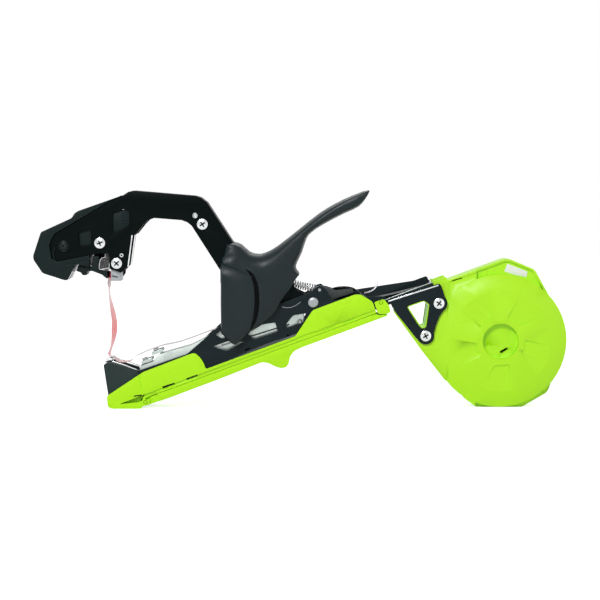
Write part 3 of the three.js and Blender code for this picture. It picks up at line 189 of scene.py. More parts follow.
def carved(mesh, pockets):
    """The mesh with the pockets, themselves a closed mesh, cut out of it."""
    body, tool = linked("body", mesh), linked("tool", pockets)
    cutter = body.modifiers.new("pockets", "BOOLEAN")
    cutter.operation = "DIFFERENCE"
    cutter.solver = "EXACT"
    cutter.use_self = True
    cutter.object = tool
    result = evaluated(body)
    for item in (body, tool):
        bpy.data.objects.remove(item)
    return result


def finished_copy(cad_node, edge, bend=28.0, crease=28.0, pockets=None, edge_slot=-1):
    """A copy of a node as one merged mesh, its corners eased by a small round of size edge."""
    mesh = frame["nodes"][cad_node].data.copy()
    mesh.materials.clear()
    shape = welded(mesh)
    flat = math.radians(0.6)
    bmesh.ops.dissolve_limit(shape, angle_limit=flat, verts=shape.verts, edges=shape.edges)
    if pockets:
        shape.to_mesh(mesh)
        shape.free()
        mesh = carved(mesh, pockets)
        shape = welded(mesh)
    if edge:
        shortest = 1.2 * edge
        turns = [e for e in shape.edges if e.is_manifold and e.calc_face_angle() > math.radians(bend)]
        bmesh.ops.bevel(
            shape, geom=[e for e in turns if e.calc_length() > shortest], offset=edge,
            offset_type="OFFSET", segments=2, profile=0.5, affect="EDGES", clamp_overlap=True,
            loop_slide=True, harden_normals=False, material=edge_slot,
        )
    bmesh.ops.triangulate(shape, faces=[f for f in shape.faces if len(f.verts) > 4])
    shape.to_mesh(mesh)
    shape.free()
    return shaded(mesh, crease)


def place(name, mesh, body, material, *nodes_replaced, slot=None):
    """A finished piece: its mesh, body, material or materials, and the nodes it stands for."""
    piece = linked(name, mesh)
    for finish in material if isinstance(material, tuple) else (material,):
        if finish:
            mesh.materials.append(finish)
    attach(piece, body)
    if nodes_replaced:
        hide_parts(*nodes_replaced)


def dressed(name, cad_node, body, material, edge, **how):
    """The finished copy of a node, as the visible piece that stands for it."""
    place(name, finished_copy(cad_node, edge, **how), body, material, cad_node)


def open_sockets(tree, way, sockets):
    """The inputs or outputs of a node group, each a name and a kind."""
    for name, kind in sockets.items():
        tree.interface.new_socket(name, in_out=way, socket_type=f"NodeSocket{kind}")


def fine_grain():
    """Shared surface: a colour that drifts a little, uneven gloss and the height of a fine grain."""
    tree = bpy.data.node_groups.new("fine_grain", "ShaderNodeTree")
    levels = ("Drift", "Gloss Low", "Gloss High", "Patch Scale", "Grain Scale")
    open_sockets(tree, "INPUT", {"Vector": "Vector", "Base": "Color", **dict.fromkeys(levels, "Float")})
    open_sockets(tree, "OUTPUT", {"Color": "Color", "Roughness": "Float", "Height": "Float"})
    given = node(tree, "NodeGroupInput").outputs
    where, drift = given["Vector"], given["Drift"]
    patches = node(tree, "ShaderNodeTexNoise", {
        "Vector": where, "Scale": given["Patch Scale"], "Detail": 3.0,
    })
    grain = node(tree, "ShaderNodeTexNoise", {"Vector": where, "Scale": given["Grain Scale"], "Detail": 2.0})
    low = reckon(tree, "SUBTRACT", 1.0, drift)
    high = reckon(tree, "ADD", 1.0, drift)
    patch = patches.outputs["Fac"]
    shade = node(tree, "ShaderNodeMapRange", {"Value": patch, "To Min": low, "To Max": high})
    tint = node(
        tree, "ShaderNodeVectorMath", {0: given["Base"], "Scale": shade.outputs["Result"]}, operation="SCALE",
    )
    gloss = node(tree, "ShaderNodeMapRange", {
        "Value": patch, "From Min": 0.3, "From Max": 0.7,
        "To Min": given["Gloss Low"], "To Max": given["Gloss High"],
    })
    node(tree, "NodeGroupOutput", {
        "Color": tint.outputs[0], "Roughness": gloss.outputs["Result"], "Height": grain.outputs["Fac"],
    })
    return tree


grain_group = fine_grain()
grain_depth = 0.0002


def blank_material(name):
    """A new material with its node tree and the inputs of its shader."""
    material = bpy.data.materials.new(name)
    material.use_nodes = True
    tree = material.node_tree
    return material, tree, tree.nodes["Principled BSDF"].inputs


def grained(name, base, gloss, drift=0.05, patch=40.0, grain=3000.0, relief=0.08, **settings):
    """A material whose colour, gloss and relief come from the shared grain."""
    material, tree, shader = blank_material(name)
    surface = node(tree, "ShaderNodeGroup", {
        "Vector": node(tree, "ShaderNodeTexCoord").outputs["Object"], "Base": (*base, 1.0), "Drift": drift,
        "Gloss Low": gloss[0], "Gloss High": gloss[1], "Patch Scale": patch, "Grain Scale": grain,
    }, node_tree=grain_group).outputs
    bump = node(tree, "ShaderNodeBump", {
        "Strength": relief, "Distance": grain_depth, "Height": surface["Height"],
    })
    tree.links.new(surface["Color"], shader["Base Color"])
    tree.links.new(surface["Roughness"], shader["Roughness"])
    tree.links.new(bump.outputs["Normal"], shader["Normal"])
    for socket, value in settings.items():
        shader[socket.replace("_", " ")].default_value = value
    return material


frame_paint = grained(
    "frame_paint", (0.004, 0.0105, 0.013), (0.26, 0.36), drift=0.16, patch=30.0, grain=900.0, relief=0.04,
    Specular_IOR_Level=0.13,
)
dressed("frame_channel", "main_frame", "frame", frame_paint, 0.0003)

# Pivot rivet: a zinc plated steel rivet with a low domed head on both sides of the frame.
# It is set cold, so the dome carries the faint flat of the setting tool.


def as_mesh(shape, crease):
    """The edited shape as a plain mesh, shaded with the crease."""
    mesh = bpy.data.meshes.new("shape")
    shape.to_mesh(mesh)
    shape.free()
    return shaded(mesh, crease)


def turned(profile, centre, steps=40):
    """A body of revolution about the Y line through a centre, from (radius, y) pairs."""
    shape = bmesh.new()
    ring = [shape.verts.new((centre[0] + radius, y, centre[1])) for radius, y in profile]
    edges = [shape.edges.new(ends) for ends in zip(ring, ring[1:])]
    bmesh.ops.spin(
        shape, geom=ring + edges, cent=(centre[0], 0, centre[1]), axis=(0, 1, 0),
        angle=2 * math.pi, steps=steps, use_merge=True,
    )
    bmesh.ops.remove_doubles(shape, verts=shape.verts, dist=0.000001)
    bmesh.ops.recalc_face_normals(shape, faces=shape.faces)
    return as_mesh(shape, 32.0)


def middle(cad_node):
    """The middle of a node's box."""
    low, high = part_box(cad_node)
    return (Vector(low) + Vector(high)) / 2


zinc_plate = grained(
    "zinc_plate", (0.66, 0.68, 0.69), (0.2, 0.34), drift=0.1, patch=260.0, grain=2400.0, relief=0.06,
    Metallic=1.0,
)
dull_zinc = grained(
    "dull_zinc", (0.3, 0.32, 0.33), (0.34, 0.5), drift=0.2, patch=300.0, grain=2400.0, relief=0.12,
    Metallic=1.0,
)
low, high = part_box("pivot_rivet")
rivet_centre = middle("pivot_rivet")
rivet_head = (high[0] - low[0]) / 2
rivet_shank = 0.0025
dome = 0.0014
seat = high[1] - dome
half_profile = [
    (rivet_shank, 0.0), (rivet_shank, seat), (rivet_head, seat), (rivet_head * 0.97, seat + dome * 0.4),
    (rivet_head * 0.8, seat + dome * 0.78), (rivet_head * 0.5, seat + dome * 0.96), (0.0, high[1]),
]
rivet_profile = [(radius, -y) for radius, y in reversed(half_profile)] + half_profile[1:]
rivet_mesh = turned(rivet_profile, (rivet_centre.x, rivet_centre.z))
place("rivet", rivet_mesh, "frame", dull_zinc, "pivot_rivet")

# Cross pins of the arm: plain zinc plated pins pressed through both walls, their ends just flush.
# They carry the return spring and the magazine.


def eased_pin(cad_node, ease=0.0002):
    """A pin with a small chamfer at both ends, in the place of its node."""
    low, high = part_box(cad_node)
    centre = middle(cad_node)
    radius = (high[0] - low[0]) / 2
    profile = [
        (0.0, low[1]), (radius - ease, low[1]), (radius, low[1] + ease),
        (radius, high[1] - ease), (radius - ease, high[1]), (0.0, high[1]),
    ]
    return turned(profile, (centre.x, centre.z), 24)


for pin in ("spring_anchor_pin", "magazine_pin"):
    place(f"{pin}_turned", eased_pin(pin), "frame", dull_zinc, pin)

# Magazine rail: a bright zinc plated channel inside the frame, pinned at its rear end.
# It shows through the windows of the frame, and the staples lie along it.
rail_zinc = grained(
    "rail_zinc", (0.45, 0.505, 0.475), (0.3, 0.46), drift=0.08, patch=120.0, grain=1500.0, relief=0.06,
    Metallic=1.0,
)
dressed("rail_channel", "magazine_rail", "magazine", rail_zinc, 0.0002)

# Staples: a clip of U shaped wire staples glued side by side, hung over the rail's rib.
# Each one is a flat wire crown with a leg folded down at both ends.
hinge = Vector(next(joint for joint in frame["joints"] if joint["name"] == "lever")["pos_m"])
arm_tilt = math.radians(20.3)
mm = 0.001


def spot(x, z, y=0.0):
    """A point in metres, from millimetres along, up and across from the lever's pivot."""
    return hinge + mm * Vector((x, y, z))


def arm_spot(u, v, y=0.0):
    """A point in metres, from millimetres along the sloping arm, square to it and across."""
    turn = Matrix.Rotation(-arm_tilt, 3, "Y")
    return hinge + mm * (turn @ Vector((u, y, v)))


def tree_with(name, sizes, builder):
    """A geometry tree with a float input for each size, closed by its instances and material."""
    tree = bpy.data.node_groups.new(name, "GeometryNodeTree")
    tree.is_modifier = True
    kinds = {size: "Int" if size.endswith("Count") else "Float" for size in sizes}
    open_sockets(tree, "INPUT", {"Geometry": "Geometry", **kinds, "Material": "Material"})
    open_sockets(tree, "OUTPUT", {"Geometry": "Geometry"})
    given = node(tree, "NodeGroupInput").outputs
    real = node(tree, "GeometryNodeRealizeInstances", {"Geometry": builder(tree, given)})
    finish = node(tree, "GeometryNodeSetMaterial", {
        "Geometry": real.outputs["Geometry"], "Material": given["Material"],
    })
    node(tree, "NodeGroupOutput", {"Geometry": finish.outputs["Geometry"]})
    return tree


def times(tree, value, factor):
    """A size times a factor."""
    return reckon(tree, "MULTIPLY", value, factor)


def vector(tree, x=0.0, y=0.0, z=0.0):
    """Three sizes as one vector."""
    return node(tree, "ShaderNodeCombineXYZ", {"X": x, "Y": y, "Z": z}).outputs[0]


def moved(tree, geometry, **where):
    """A shape moved, turned or scaled."""
    inputs = {"Geometry": geometry, **{name.capitalize(): value for name, value in where.items()}}
    return node(tree, "GeometryNodeTransform", inputs).outputs["Geometry"]


def joined(tree, *shapes):
    """Several shapes as one."""
    join = node(tree, "GeometryNodeJoinGeometry")
    for shape in shapes:
        tree.links.new(shape, join.inputs["Geometry"])
    return join.outputs["Geometry"]


def block(tree, x, y, z):
    """A box with the given sides."""
    return node(tree, "GeometryNodeMeshCube", {"Size": vector(tree, x, y, z)}).outputs["Mesh"]


def in_a_row(tree, item, count, pitch):
    """Copies of a shape side by side along X."""
    line = node(
        tree, "GeometryNodeMeshLine", {"Count": count, "Offset": vector(tree, pitch)}, mode="OFFSET",
    )
    row = node(tree, "GeometryNodeInstanceOnPoints", {"Points": line.outputs["Mesh"], "Instance": item})
    return row.outputs["Instances"]


def grown(name, tree, material, sizes, to_tool, base=None, crease=32.0):
    """The plain mesh that a geometry tree makes from its named sizes, moved into the tool's frame."""
    carrier = linked(name, base or bpy.data.meshes.new(name))
    modifier = carrier.modifiers.new(name, "NODES")
    modifier.node_group = tree
    sockets = {s.name: s.identifier for s in tree.interface.items_tree if s.in_out == "INPUT"}
    for size, value in sizes.items():
        modifier[sockets[size]] = value
    modifier[sockets["Material"]] = material
    mesh = evaluated(carrier)
    bpy.data.objects.remove(carrier)
    mesh.materials.clear()
    mesh.materials.append(material)
    mesh.polygons.foreach_set("material_index", [0] * len(mesh.polygons))
    mesh.transform(to_tool)
    return shaded(mesh, crease)


leg_share = 0.93


def staple_row(tree, given):
    """Crowns and legs along X, the middle of the crown's wire at zero height."""
    wire, half, leg = given["Wire"], given["Crown Half"], given["Leg"]
    crown = block(tree, wire, times(tree, half, 2.0), wire)
    side = block(tree, wire, wire, leg)
    low = times(tree, leg, -0.5)
    legs = [
        moved(tree, side, translation=vector(tree, 0.0, times(tree, half, share), low))
        for share in (leg_share, -leg_share)
    ]
    return in_a_row(tree, joined(tree, crown, *legs), given["Staple Count"], given["Pitch"])


def arm_frame(u, v, y=0.0):
    """The move that stands a mesh on the sloping arm at a point given in millimetres."""
    return Matrix.Translation(arm_spot(u, v, y)) @ Matrix.Rotation(-arm_tilt, 4, "Y")


staple_wire = grained(
    "staple_wire", (0.56, 0.57, 0.56), (0.24, 0.38), drift=0.12, patch=400.0, grain=2000.0, relief=0.05,
    Metallic=1.0,
)
staple_sizes = {
    "Wire": 0.6 * mm, "Crown Half": 4.9 * mm, "Leg": 4.6 * mm, "Pitch": 0.72 * mm, "Staple Count": 80,
}
staple_tree = tree_with("staple_row", staple_sizes, staple_row)
first_staple = arm_frame(-130.9, -3.3)
staples = grown("staple_clip", staple_tree, staple_wire, staple_sizes, first_staple)
place("staple_clip", staples, "magazine", None, "staple_strip", slot="staple_steel")

# Pusher, rod and spring: a pressed block rides on a bright rod behind the staples,
# and a long wire spring pushes it forward.


def coil_spring(tree, given):
    """A coil along Z with a closed turn at both ends, flat or turned up as a hook."""
    radius, wire, length = given["Coil Radius"], given["Wire Radius"], given["Length"]
    spiral = node(tree, "GeometryNodeCurveSpiral", {
        "Resolution": 20, "Rotations": given["Turns"], "Start Radius": radius, "End Radius": radius,
        "Height": length,
    }).outputs["Curve"]
    loop = node(tree, "GeometryNodeCurvePrimitiveCircle", {"Resolution": 24, "Radius": given["End Radius"]})
    turn = vector(tree, given["End Turn"])
    reach = given["End Reach"]
    below = times(tree, reach, -1.0)
    above = reckon(tree, "ADD", length, reach)
    ends = [
        moved(tree, loop.outputs["Curve"], translation=vector(tree, 0.0, 0.0, rise), rotation=turn)
        for rise in (below, above)
    ]
    profile = node(tree, "GeometryNodeCurvePrimitiveCircle", {"Resolution": 8, "Radius": wire})
    swept = node(tree, "GeometryNodeCurveToMesh", {
        "Curve": joined(tree, spiral, *ends), "Profile Curve": profile.outputs["Curve"], "Fill Caps": True,
    })
    return swept.outputs["Mesh"]


spring_sizes = (
    "Coil Radius", "Wire Radius", "Length", "Turns", "End Radius", "End Turn", "End Reach",
)
spring_tree = tree_with("coil_spring", spring_sizes, coil_spring)


def coil(name, start, end, radius, wire, turns, hook=0.0):
    """A wire spring between two points, its sizes in metres, with hooks of a given radius or none."""
    way = end - start
    sizes = {
        "Coil Radius": radius, "Wire Radius": wire, "Length": way.length - 4 * hook, "Turns": float(turns),
        "End Radius": hook or radius, "End Turn": math.pi / 2 if hook else 0.0, "End Reach": hook,
    }
    coil_start = start + way.normalized() * 2 * hook
    stand = Matrix.Translation(coil_start) @ way.to_track_quat("Z", "Y").to_matrix().to_4x4()
    return grown(name, spring_tree, spring_wire, sizes, stand)


spring_wire = grained(
    "spring_wire", (0.5, 0.51, 0.52), (0.18, 0.3), drift=0.1, patch=500.0, grain=2500.0, relief=0.03,
    Metallic=1.0,
)
dressed("pusher_block", "staple_pusher", "pusher", dull_zinc, 0.0002)
dressed("rod", "pusher_rod", "magazine", zinc_plate, 0.0001)
push_start, push_end = arm_spot(-63.0, -5.5), arm_spot(-21.2, -5.5)
push_coil = coil("pusher_coil", push_start, push_end, radius=0.002, wire=0.0003, turns=12)
push_piece = linked("pusher_coil", push_coil)
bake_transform(push_piece)
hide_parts("pusher_spring")

# Magazine spring: a short stiff coil between the frame's floor and the rail, which lifts the
# front of the magazine against the nose.
lift_start, lift_end = arm_spot(-112.0, -21.0), arm_spot(-112.0, -15.7)
lift_coil = coil("lift_coil", lift_start, lift_end, radius=0.0024, wire=0.00035, turns=3)
place("lift_coil", lift_coil, "frame", None, "magazine_spring", slot="bright_steel")

# Tape gates: two small bright blocks on the front of the rail that keep the tape down, each
# with a little coil spring lying on it.
polished_steel = grained(
    "polished_steel", (0.8, 0.81, 0.82), (0.08, 0.2), drift=0.05, patch=180.0, grain=1500.0, relief=0.02,
    Metallic=1.0,
)
gate_coil = {"radius": 0.0008, "wire": 0.0002, "turns": 6}
gate_coil_long = 3.6
gate_coil_side = -4.8
for end, (u, v) in {"front": (-131.5, 3.5), "rear": (-121.5, 7.0)}.items():
    dressed(f"gate_block_{end}", f"tape_gate_{end}", "magazine", rail_zinc, 0.0002)
    coil_ends = [arm_spot(at, v, gate_coil_side) for at in (u, u + gate_coil_long)]
    gate_mesh = coil(f"gate_coil_{end}", *coil_ends, **gate_coil)
    place(f"gate_coil_{end}", gate_mesh, "magazine", None, slot="bright_steel")

# Staple driver: an upright blade of hardened steel in the nose, ground on its faces.
# It pushes the front staple up when the head comes down.
dressed("driver_blade", "staple_driver", "frame", zinc_plate, 0.0001)

# Nose block: a slate grey moulding fitted into the front of the frame.
# A groove in its slope leads the tape from the magazine up to the tip.
nose_slate = grained(
    "nose_slate", (0.021, 0.035, 0.033), (0.4, 0.54), drift=0.08, patch=60.0, grain=2200.0, relief=0.12,
    Specular_IOR_Level=0.12,
)
dressed("nose_ramp", "nose_block", "frame", nose_slate, 0.0004)

# Slope strips: a thin strip of bright zinc along each side of the nose's slope, for the light line
# along its edge.


def slab(outline, near, far, ease=0.15):
    """A solid between two depths from an outline, all in millimetres, its corners eased."""
    shape = bmesh.new()
    face = shape.faces.new([shape.verts.new(spot(x, z, near)) for x, z in outline])
    pulled = bmesh.ops.extrude_face_region(shape, geom=[face])
    back = [item for item in pulled["geom"] if isinstance(item, bmesh.types.BMVert)]
    bmesh.ops.translate(shape, verts=back, vec=(0.0, (far - near) * mm, 0.0))
    bmesh.ops.recalc_face_normals(shape, faces=shape.faces)
    if ease:
        bmesh.ops.bevel(
            shape, geom=list(shape.edges), offset=ease * mm, offset_type="OFFSET", segments=2, profile=0.5,
            affect="EDGES", clamp_overlap=True,
        )
    return as_mesh(shape, 40.0)


def band(line, width):
    """The outline of a strip of a given width along a line of points."""
    points = [Vector(point) for point in line]
    sides = []
    for index, point in enumerate(points):
        before = points[max(index - 1, 0)]
        after = points[min(index + 1, len(points) - 1)]
        way = (after - before).normalized()
        sides.append((point, Vector((-way.y, way.x)) * width / 2))
    left = [tuple(point + side) for point, side in sides]
    right = [tuple(point - side) for point, side in reversed(sides)]
    return left + right


def merged(*meshes):
    """Several meshes as one."""
    shape = bmesh.new()
    for mesh in meshes:
        shape.from_mesh(mesh)
    mesh = meshes[0].copy()
    shape.to_mesh(mesh)
    shape.free()
    return mesh


def on_both_sides(outline, thick, near, far, ease=0.1):
    """A thin piece on the near and one on the far side, each starting at its own depth."""
    return merged(*[slab(outline, start, start + thick, ease) for start in (near, far)])


slope_line = [(-146.2, -43.0), (-137.5, -45.6), (-128.4, -49.1)]
slope_strips = on_both_sides(band(slope_line, 0.6), thick=0.5, near=-10.75, far=10.25)
place("slope_strips", slope_strips, "frame", zinc_plate, slot="bright_steel")

# Tape guide: a polished stirrup on the tip of the nose, two ears and the bar that the tape
# leaves over, bent from spring steel.
dressed("guide_stirrup", "tape_guide", "frame", polished_steel, 0.0002)

# Grip cover: a lime green trough moulded in nylon and clipped round the frame, with a shield at
# each end of the finger grip, a stepped foot with slots, and a level chin to stand on.
lime_nylon = grained(
    "lime_nylon", (0.435, 0.84, 0.008), (0.3, 0.42), drift=0.035, patch=16.0, grain=2600.0, relief=0.05,
    Specular_IOR_Level=0.25,
)
cover_out = 12.85
wall = 2.0


def sloped(x, z, length, height):
    """The outline of a slot that lies along the arm, its middle at a point."""
    along = Vector((math.cos(arm_tilt), math.sin(arm_tilt))) * length / 2
    up = Vector((-math.sin(arm_tilt), math.cos(arm_tilt))) * height / 2
    centre = Vector((x, z))
    return [tuple(centre + along * a + up * b) for a, b in ((-1, -1), (1, -1), (1, 1), (-1, 1))]


slot_outlines = [
    [(-130.5, -68.9), (-124.9, -68.1), (-124.7, -67.0), (-130.3, -67.8)],
    [(-122.4, -69.9), (-114.4, -66.6), (-114.2, -68.2), (-121.8, -71.4)],
    [(-109.8, -61.2), (-101.0, -58.4), (-100.4, -59.9), (-109.2, -62.8)],
    [(-92.3, -55.2), (-84.2, -52.3), (-83.6, -53.8), (-91.7, -56.8)],
]
rear_slots = [
    sloped(-5.3, -23.8, 15.0, 1.5), sloped(11.1, -18.0, 8.9, 1.8), sloped(26.6, -12.7, 8.8, 1.6),
    sloped(41.8, -9.6, 9.2, 1.4),
]
seam_lines = [
    band([(-76.2, -52.8), (-30.0, -35.7), (1.3, -24.2)], 0.5), band([(2.4, -21.9), (36.0, -9.5)], 0.5),
    band([(-126.8, -52.4), (-124.2, -63.6)], 0.5),
]
shallow = 0.7
through = 1.3 * wall


def in_both_walls(outlines, out, depth):
    """Closed pockets cut to a depth in the near and the far wall of a moulding."""
    return [
        slab(outline, start, start + depth + wall, 0)
        for outline in outlines for start in (-out - wall, out - depth)
    ]


cover_pockets = merged(
    *in_both_walls(slot_outlines, cover_out, through),
    *in_both_walls(rear_slots + seam_lines, cover_out, shallow),
)
dressed("grip_trough", "grip_cover", "frame", lime_nylon, 0.0004, pockets=cover_pockets)

# Finger rail: the lime green strip under the trough with its finger hook. It swings down on a
# moulded pin to open the magazine, and a sprung latch of the same nylon holds its rear end.
rail_out = 11.95
rail_pockets = merged(*in_both_walls(slot_outlines + rear_slots, rail_out, shallow))
dressed("rail_strip", "finger_rail", "finger_rail", lime_nylon, 0.0004, pockets=rail_pockets)
dressed("latch_hook", "rail_latch", "rail_latch", lime_nylon, 0.0003)
for pin in ("latch_pin", "finger_rail_pin"):
    place(f"{pin}_moulded", eased_pin(pin), "frame", lime_nylon, pin)

# Reel bracket: two cheeks of the same painted steel under the rear of the frame, with a
# triangular window, and a boss at each of the two screws that hold the reel case.
dressed("bracket_cheeks", "reel_bracket", "frame", frame_paint, 0.0003)

# Top of the rear channel: on each side a bright strip for the light line along the top of the
# cheek, with a row of dark moulded ribs and a thin steel stripe above it.
cheek_top_line = [(54.2, 0.9), (72.0, 6.7), (90.4, 12.6)]
cheek_top_strips = on_both_sides(band(cheek_top_line, 0.9), thick=0.7, near=-12.75, far=12.05, ease=0.15)
place("channel_top_strips", cheek_top_strips, "frame", zinc_plate, slot="zinc_steel")


def rib_row(tree, given):
    """Slim ribs side by side along X, each with its length along Z."""
    rib = block(tree, given["Rib"], given["Depth"], given["Height"])
    return in_a_row(tree, rib, given["Rib Count"], given["Pitch"])


rib_sizes = {"Rib": 0.5 * mm, "Depth": 0.6 * mm, "Height": 1.7 * mm, "Pitch": 1.1 * mm, "Rib Count": 30}
rib_tree = tree_with("rib_row", rib_sizes, rib_row)
ribs = merged(*[
    grown(f"ribs_{side}", rib_tree, nose_slate, rib_sizes, arm_frame(53.5, -17.1, y))
    for side, y in (("near", -10.7), ("far", 10.7))
])
place("channel_ribs", ribs, "frame", None, slot="black_steel")
stripe_line = [(51.4, 1.6), (69.0, 8.3), (86.4, 14.7)]
stripes = on_both_sides(band(stripe_line, 0.5), thick=0.5, near=-10.95, far=10.45)
place("channel_stripes", stripes, "frame", rail_zinc, slot="zinc_steel")

# Window edging: a thin rim of the reel case's lime nylon, moulded with the case.
# It shows inside the triangular window of the bracket.


def arm_line(points):
    """Points of the sloping arm, in millimetres, as points of the tool."""
    away = [arm_spot(u, v) - hinge for u, v in points]
    return [(at.x / mm, at.z / mm) for at in away]


window_line = arm_line([
    (62.9, -26.6), (75.3, -26.7), (77.9, -30.3), (70.2, -44.9), (67.5, -44.7), (66.5, -41.8), (62.9, -26.6),
])
edging = on_both_sides(band(window_line, 0.6), thick=0.9, near=-12.2, far=11.3)
place("window_edging", edging, "frame", lime_nylon, slot="green_plastic")

# Screws of the head, the arm and the bracket: pan heads with a cross recess, turned and zinc
# plated, each with a six sided nut on the far side.


def cut(tree, operation, tools, target=None):
    """The part that the tools share, or what they leave of a target."""
    made = node(tree, "GeometryNodeMeshBoolean", {"Mesh 1": target} if target else {}, operation=operation)
    for tool in tools:
        tree.links.new(tool, made.inputs["Mesh 2"])
    return made.outputs["Mesh"]


def rod_shape(tree, corners, radius, length):
    """A cylinder or prism along Z, its middle at zero."""
    sizes = {"Vertices": corners, "Radius": radius, "Depth": length}
    return node(tree, "GeometryNodeMeshCylinder", sizes).outputs["Mesh"]


def raised(tree, shape, rise):
    """A shape moved up along Z."""
    return moved(tree, shape, translation=vector(tree, 0.0, 0.0, rise))


def cross_screw(tree, given):
    """A screw along Z: the seat of its head at zero, its shaft below."""
    head, rise, slot_wide = given["Head Radius"], given["Head Height"], given["Recess Width"]
    disc = raised(tree, rod_shape(tree, 40, head, rise), times(tree, rise, 0.5))
    ball_radius = times(tree, head, 2.4)
    ball = node(tree, "GeometryNodeMeshUVSphere", {"Segments": 40, "Rings": 60, "Radius": ball_radius})
    dome = raised(tree, ball.outputs["Mesh"], reckon(tree, "SUBTRACT", rise, ball_radius))
    pan = cut(tree, "INTERSECT", [disc, dome])
    deep = times(tree, given["Recess Depth"], 2.0)
    slot_long = times(tree, head, 1.16)
    slots = [
        raised(tree, block(tree, x, y, deep), rise)
        for x, y in ((slot_long, slot_wide), (slot_wide, slot_long))
    ]
    shaft_long = given["Shaft Length"]
    shaft = rod_shape(tree, 24, given["Shaft Radius"], shaft_long)
    return joined(
        tree, cut(tree, "DIFFERENCE", slots, pan), raised(tree, shaft, times(tree, shaft_long, -0.5)),
    )


def hex_nut(tree, given):
    """A six sided nut along Z with rounded corners, its lower face at zero."""
    across, high = given["Nut Radius"], given["Nut Height"]
    ball = node(tree, "GeometryNodeMeshUVSphere", {"Segments": 48, "Rings": 24, "Radius": 1.0})
    width = times(tree, across, 1.06)
    rounding = vector(tree, width, width, times(tree, high, 1.05))
    corners = moved(tree, ball.outputs["Mesh"], scale=rounding)
    prism = cut(tree, "INTERSECT", [rod_shape(tree, 6, across, high), corners])
    bore = rod_shape(tree, 24, given["Bore Radius"], times(tree, high, 2.0))
    return raised(tree, cut(tree, "DIFFERENCE", [bore], prism), times(tree, high, 0.5))


screw_tree = tree_with("cross_screw", (
    "Head Radius", "Head Height", "Recess Width", "Recess Depth", "Shaft Radius", "Shaft Length",
), cross_screw)
nut_tree = tree_with("hex_nut", ("Nut Radius", "Nut Height", "Bore Radius"), hex_nut)
shaft_radius = 0.0019
nut_radius = 0.0034
tight_bore = 0.97 * shaft_radius
loose_bore = 1.02 * shaft_radius
pan_height = 0.0016
nut_height = 0.0016
head_share = 0.92
recess_reach = 0.6
recess_margin = 0.00035
# A dark grey of painted shade: the faces inside the screws' cross recesses, and the clincher's slot.
recess_shade = grained(
    "recess_shade", (0.05, 0.056, 0.06), (0.5, 0.6), drift=0.2, patch=500.0, grain=2600.0, relief=0.1,
    Specular_IOR_Level=0.2,
)


def crosswise(centre, y):
    """The move that stands a mesh across the tool at a depth in metres, its top to the near side."""
    return Matrix.Translation((centre.x, y, centre.z)) @ Matrix.Rotation(math.pi / 2, 4, "X")


def nut_mesh(name, centre, y, height, bore, material):
    """A nut whose far face lies at a depth in metres."""
    sizes = {"Nut Radius": nut_radius, "Nut Height": height, "Bore Radius": bore}
    return grown(name, nut_tree, material, sizes, crosswise(centre, y), crease=26.0)


def screw(name, cad_node, body, material, turn, has_nut=True):
    """The screw in the place of its node, head toward the near side, with its nut if it has one."""
    low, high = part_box(cad_node)
    centre = middle(cad_node)
    head_radius = head_share * (high[0] - low[0]) / 2
    seat = low[1] + pan_height
    sizes = {
        "Head Radius": head_radius, "Head Height": pan_height, "Recess Width": 0.0011,
        "Recess Depth": 0.0009, "Shaft Radius": shaft_radius, "Shaft Length": high[1] - seat,
    }
    stand = crosswise(centre, seat) @ Matrix.Rotation(turn, 4, "Z")
    mesh = grown(name, screw_tree, material, sizes, stand)
    # The faces inside the cross recess take the dark grey: painted shade.
    mesh.materials.append(recess_shade)
    for face in mesh.polygons:
        off = face.center - Vector((centre.x, seat - pan_height, centre.z))
        below_top = recess_margin < off.y < pan_height - recess_margin
        if below_top and math.hypot(off.x, off.z) < recess_reach * head_radius:
            face.material_index = 1
    if has_nut:
        mesh = merged(mesh, nut_mesh(name, centre, high[1], nut_height, tight_bore, material))
    place(name, shaded(mesh, 26.0), body, None, cad_node, slot="zinc_steel")


bright_screw = grained(
    "bright_screw", (0.6, 0.62, 0.62), (0.2, 0.34), drift=0.2, patch=420.0, grain=2600.0, relief=0.05,
    Metallic=1.0,
)
for end, turn in (("lower", 0.5), ("upper", 0.9)):
    screw(f"case_screw_{end}", f"bracket_screw_{end}", "frame", bright_screw, turn, has_nut=False)
    name, cad_nut = f"case_nut_{end}", f"bracket_nut_{end}"
    low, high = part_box(cad_nut)
    case_nut = nut_mesh(name, middle(cad_nut), high[1], high[1] - low[1], loose_bore, bright_screw)
    place(name, case_nut, "frame", None, cad_nut, slot="zinc_steel")

# Reel case and lid: two lime green half shells, the near one with five recessed wedges and a
# bearing cup, the far one hinged along the straight top edge.
lime_gloss = grained(
    "lime_gloss", (0.42, 0.82, 0.005), (0.4, 0.48), drift=0.03, patch=14.0, grain=1800.0, relief=0.04,
    Specular_IOR_Level=0.45,
)
reel_x, reel_z = 136.0, -28.4


def near_face(node_name, x, z):
    """How far across, in millimetres, the near side of a node lies at a point."""
    mesh = frame["nodes"][node_name].data
    skin = BVHTree.FromPolygons([v.co for v in mesh.vertices], [tuple(p.vertices) for p in mesh.polygons])
    start = spot(x, z, -60.0)
    hit = skin.ray_cast(start, Vector((0.0, 1.0, 0.0)))[0]
    return (hit.y - hinge.y) / mm


def round_outline(x, z, radius, steps=16):
    """The outline of a round hole."""
    angles = [2 * math.pi * step / steps for step in range(steps)]
    return [(x + radius * math.cos(angle), z + radius * math.sin(angle)) for angle in angles]


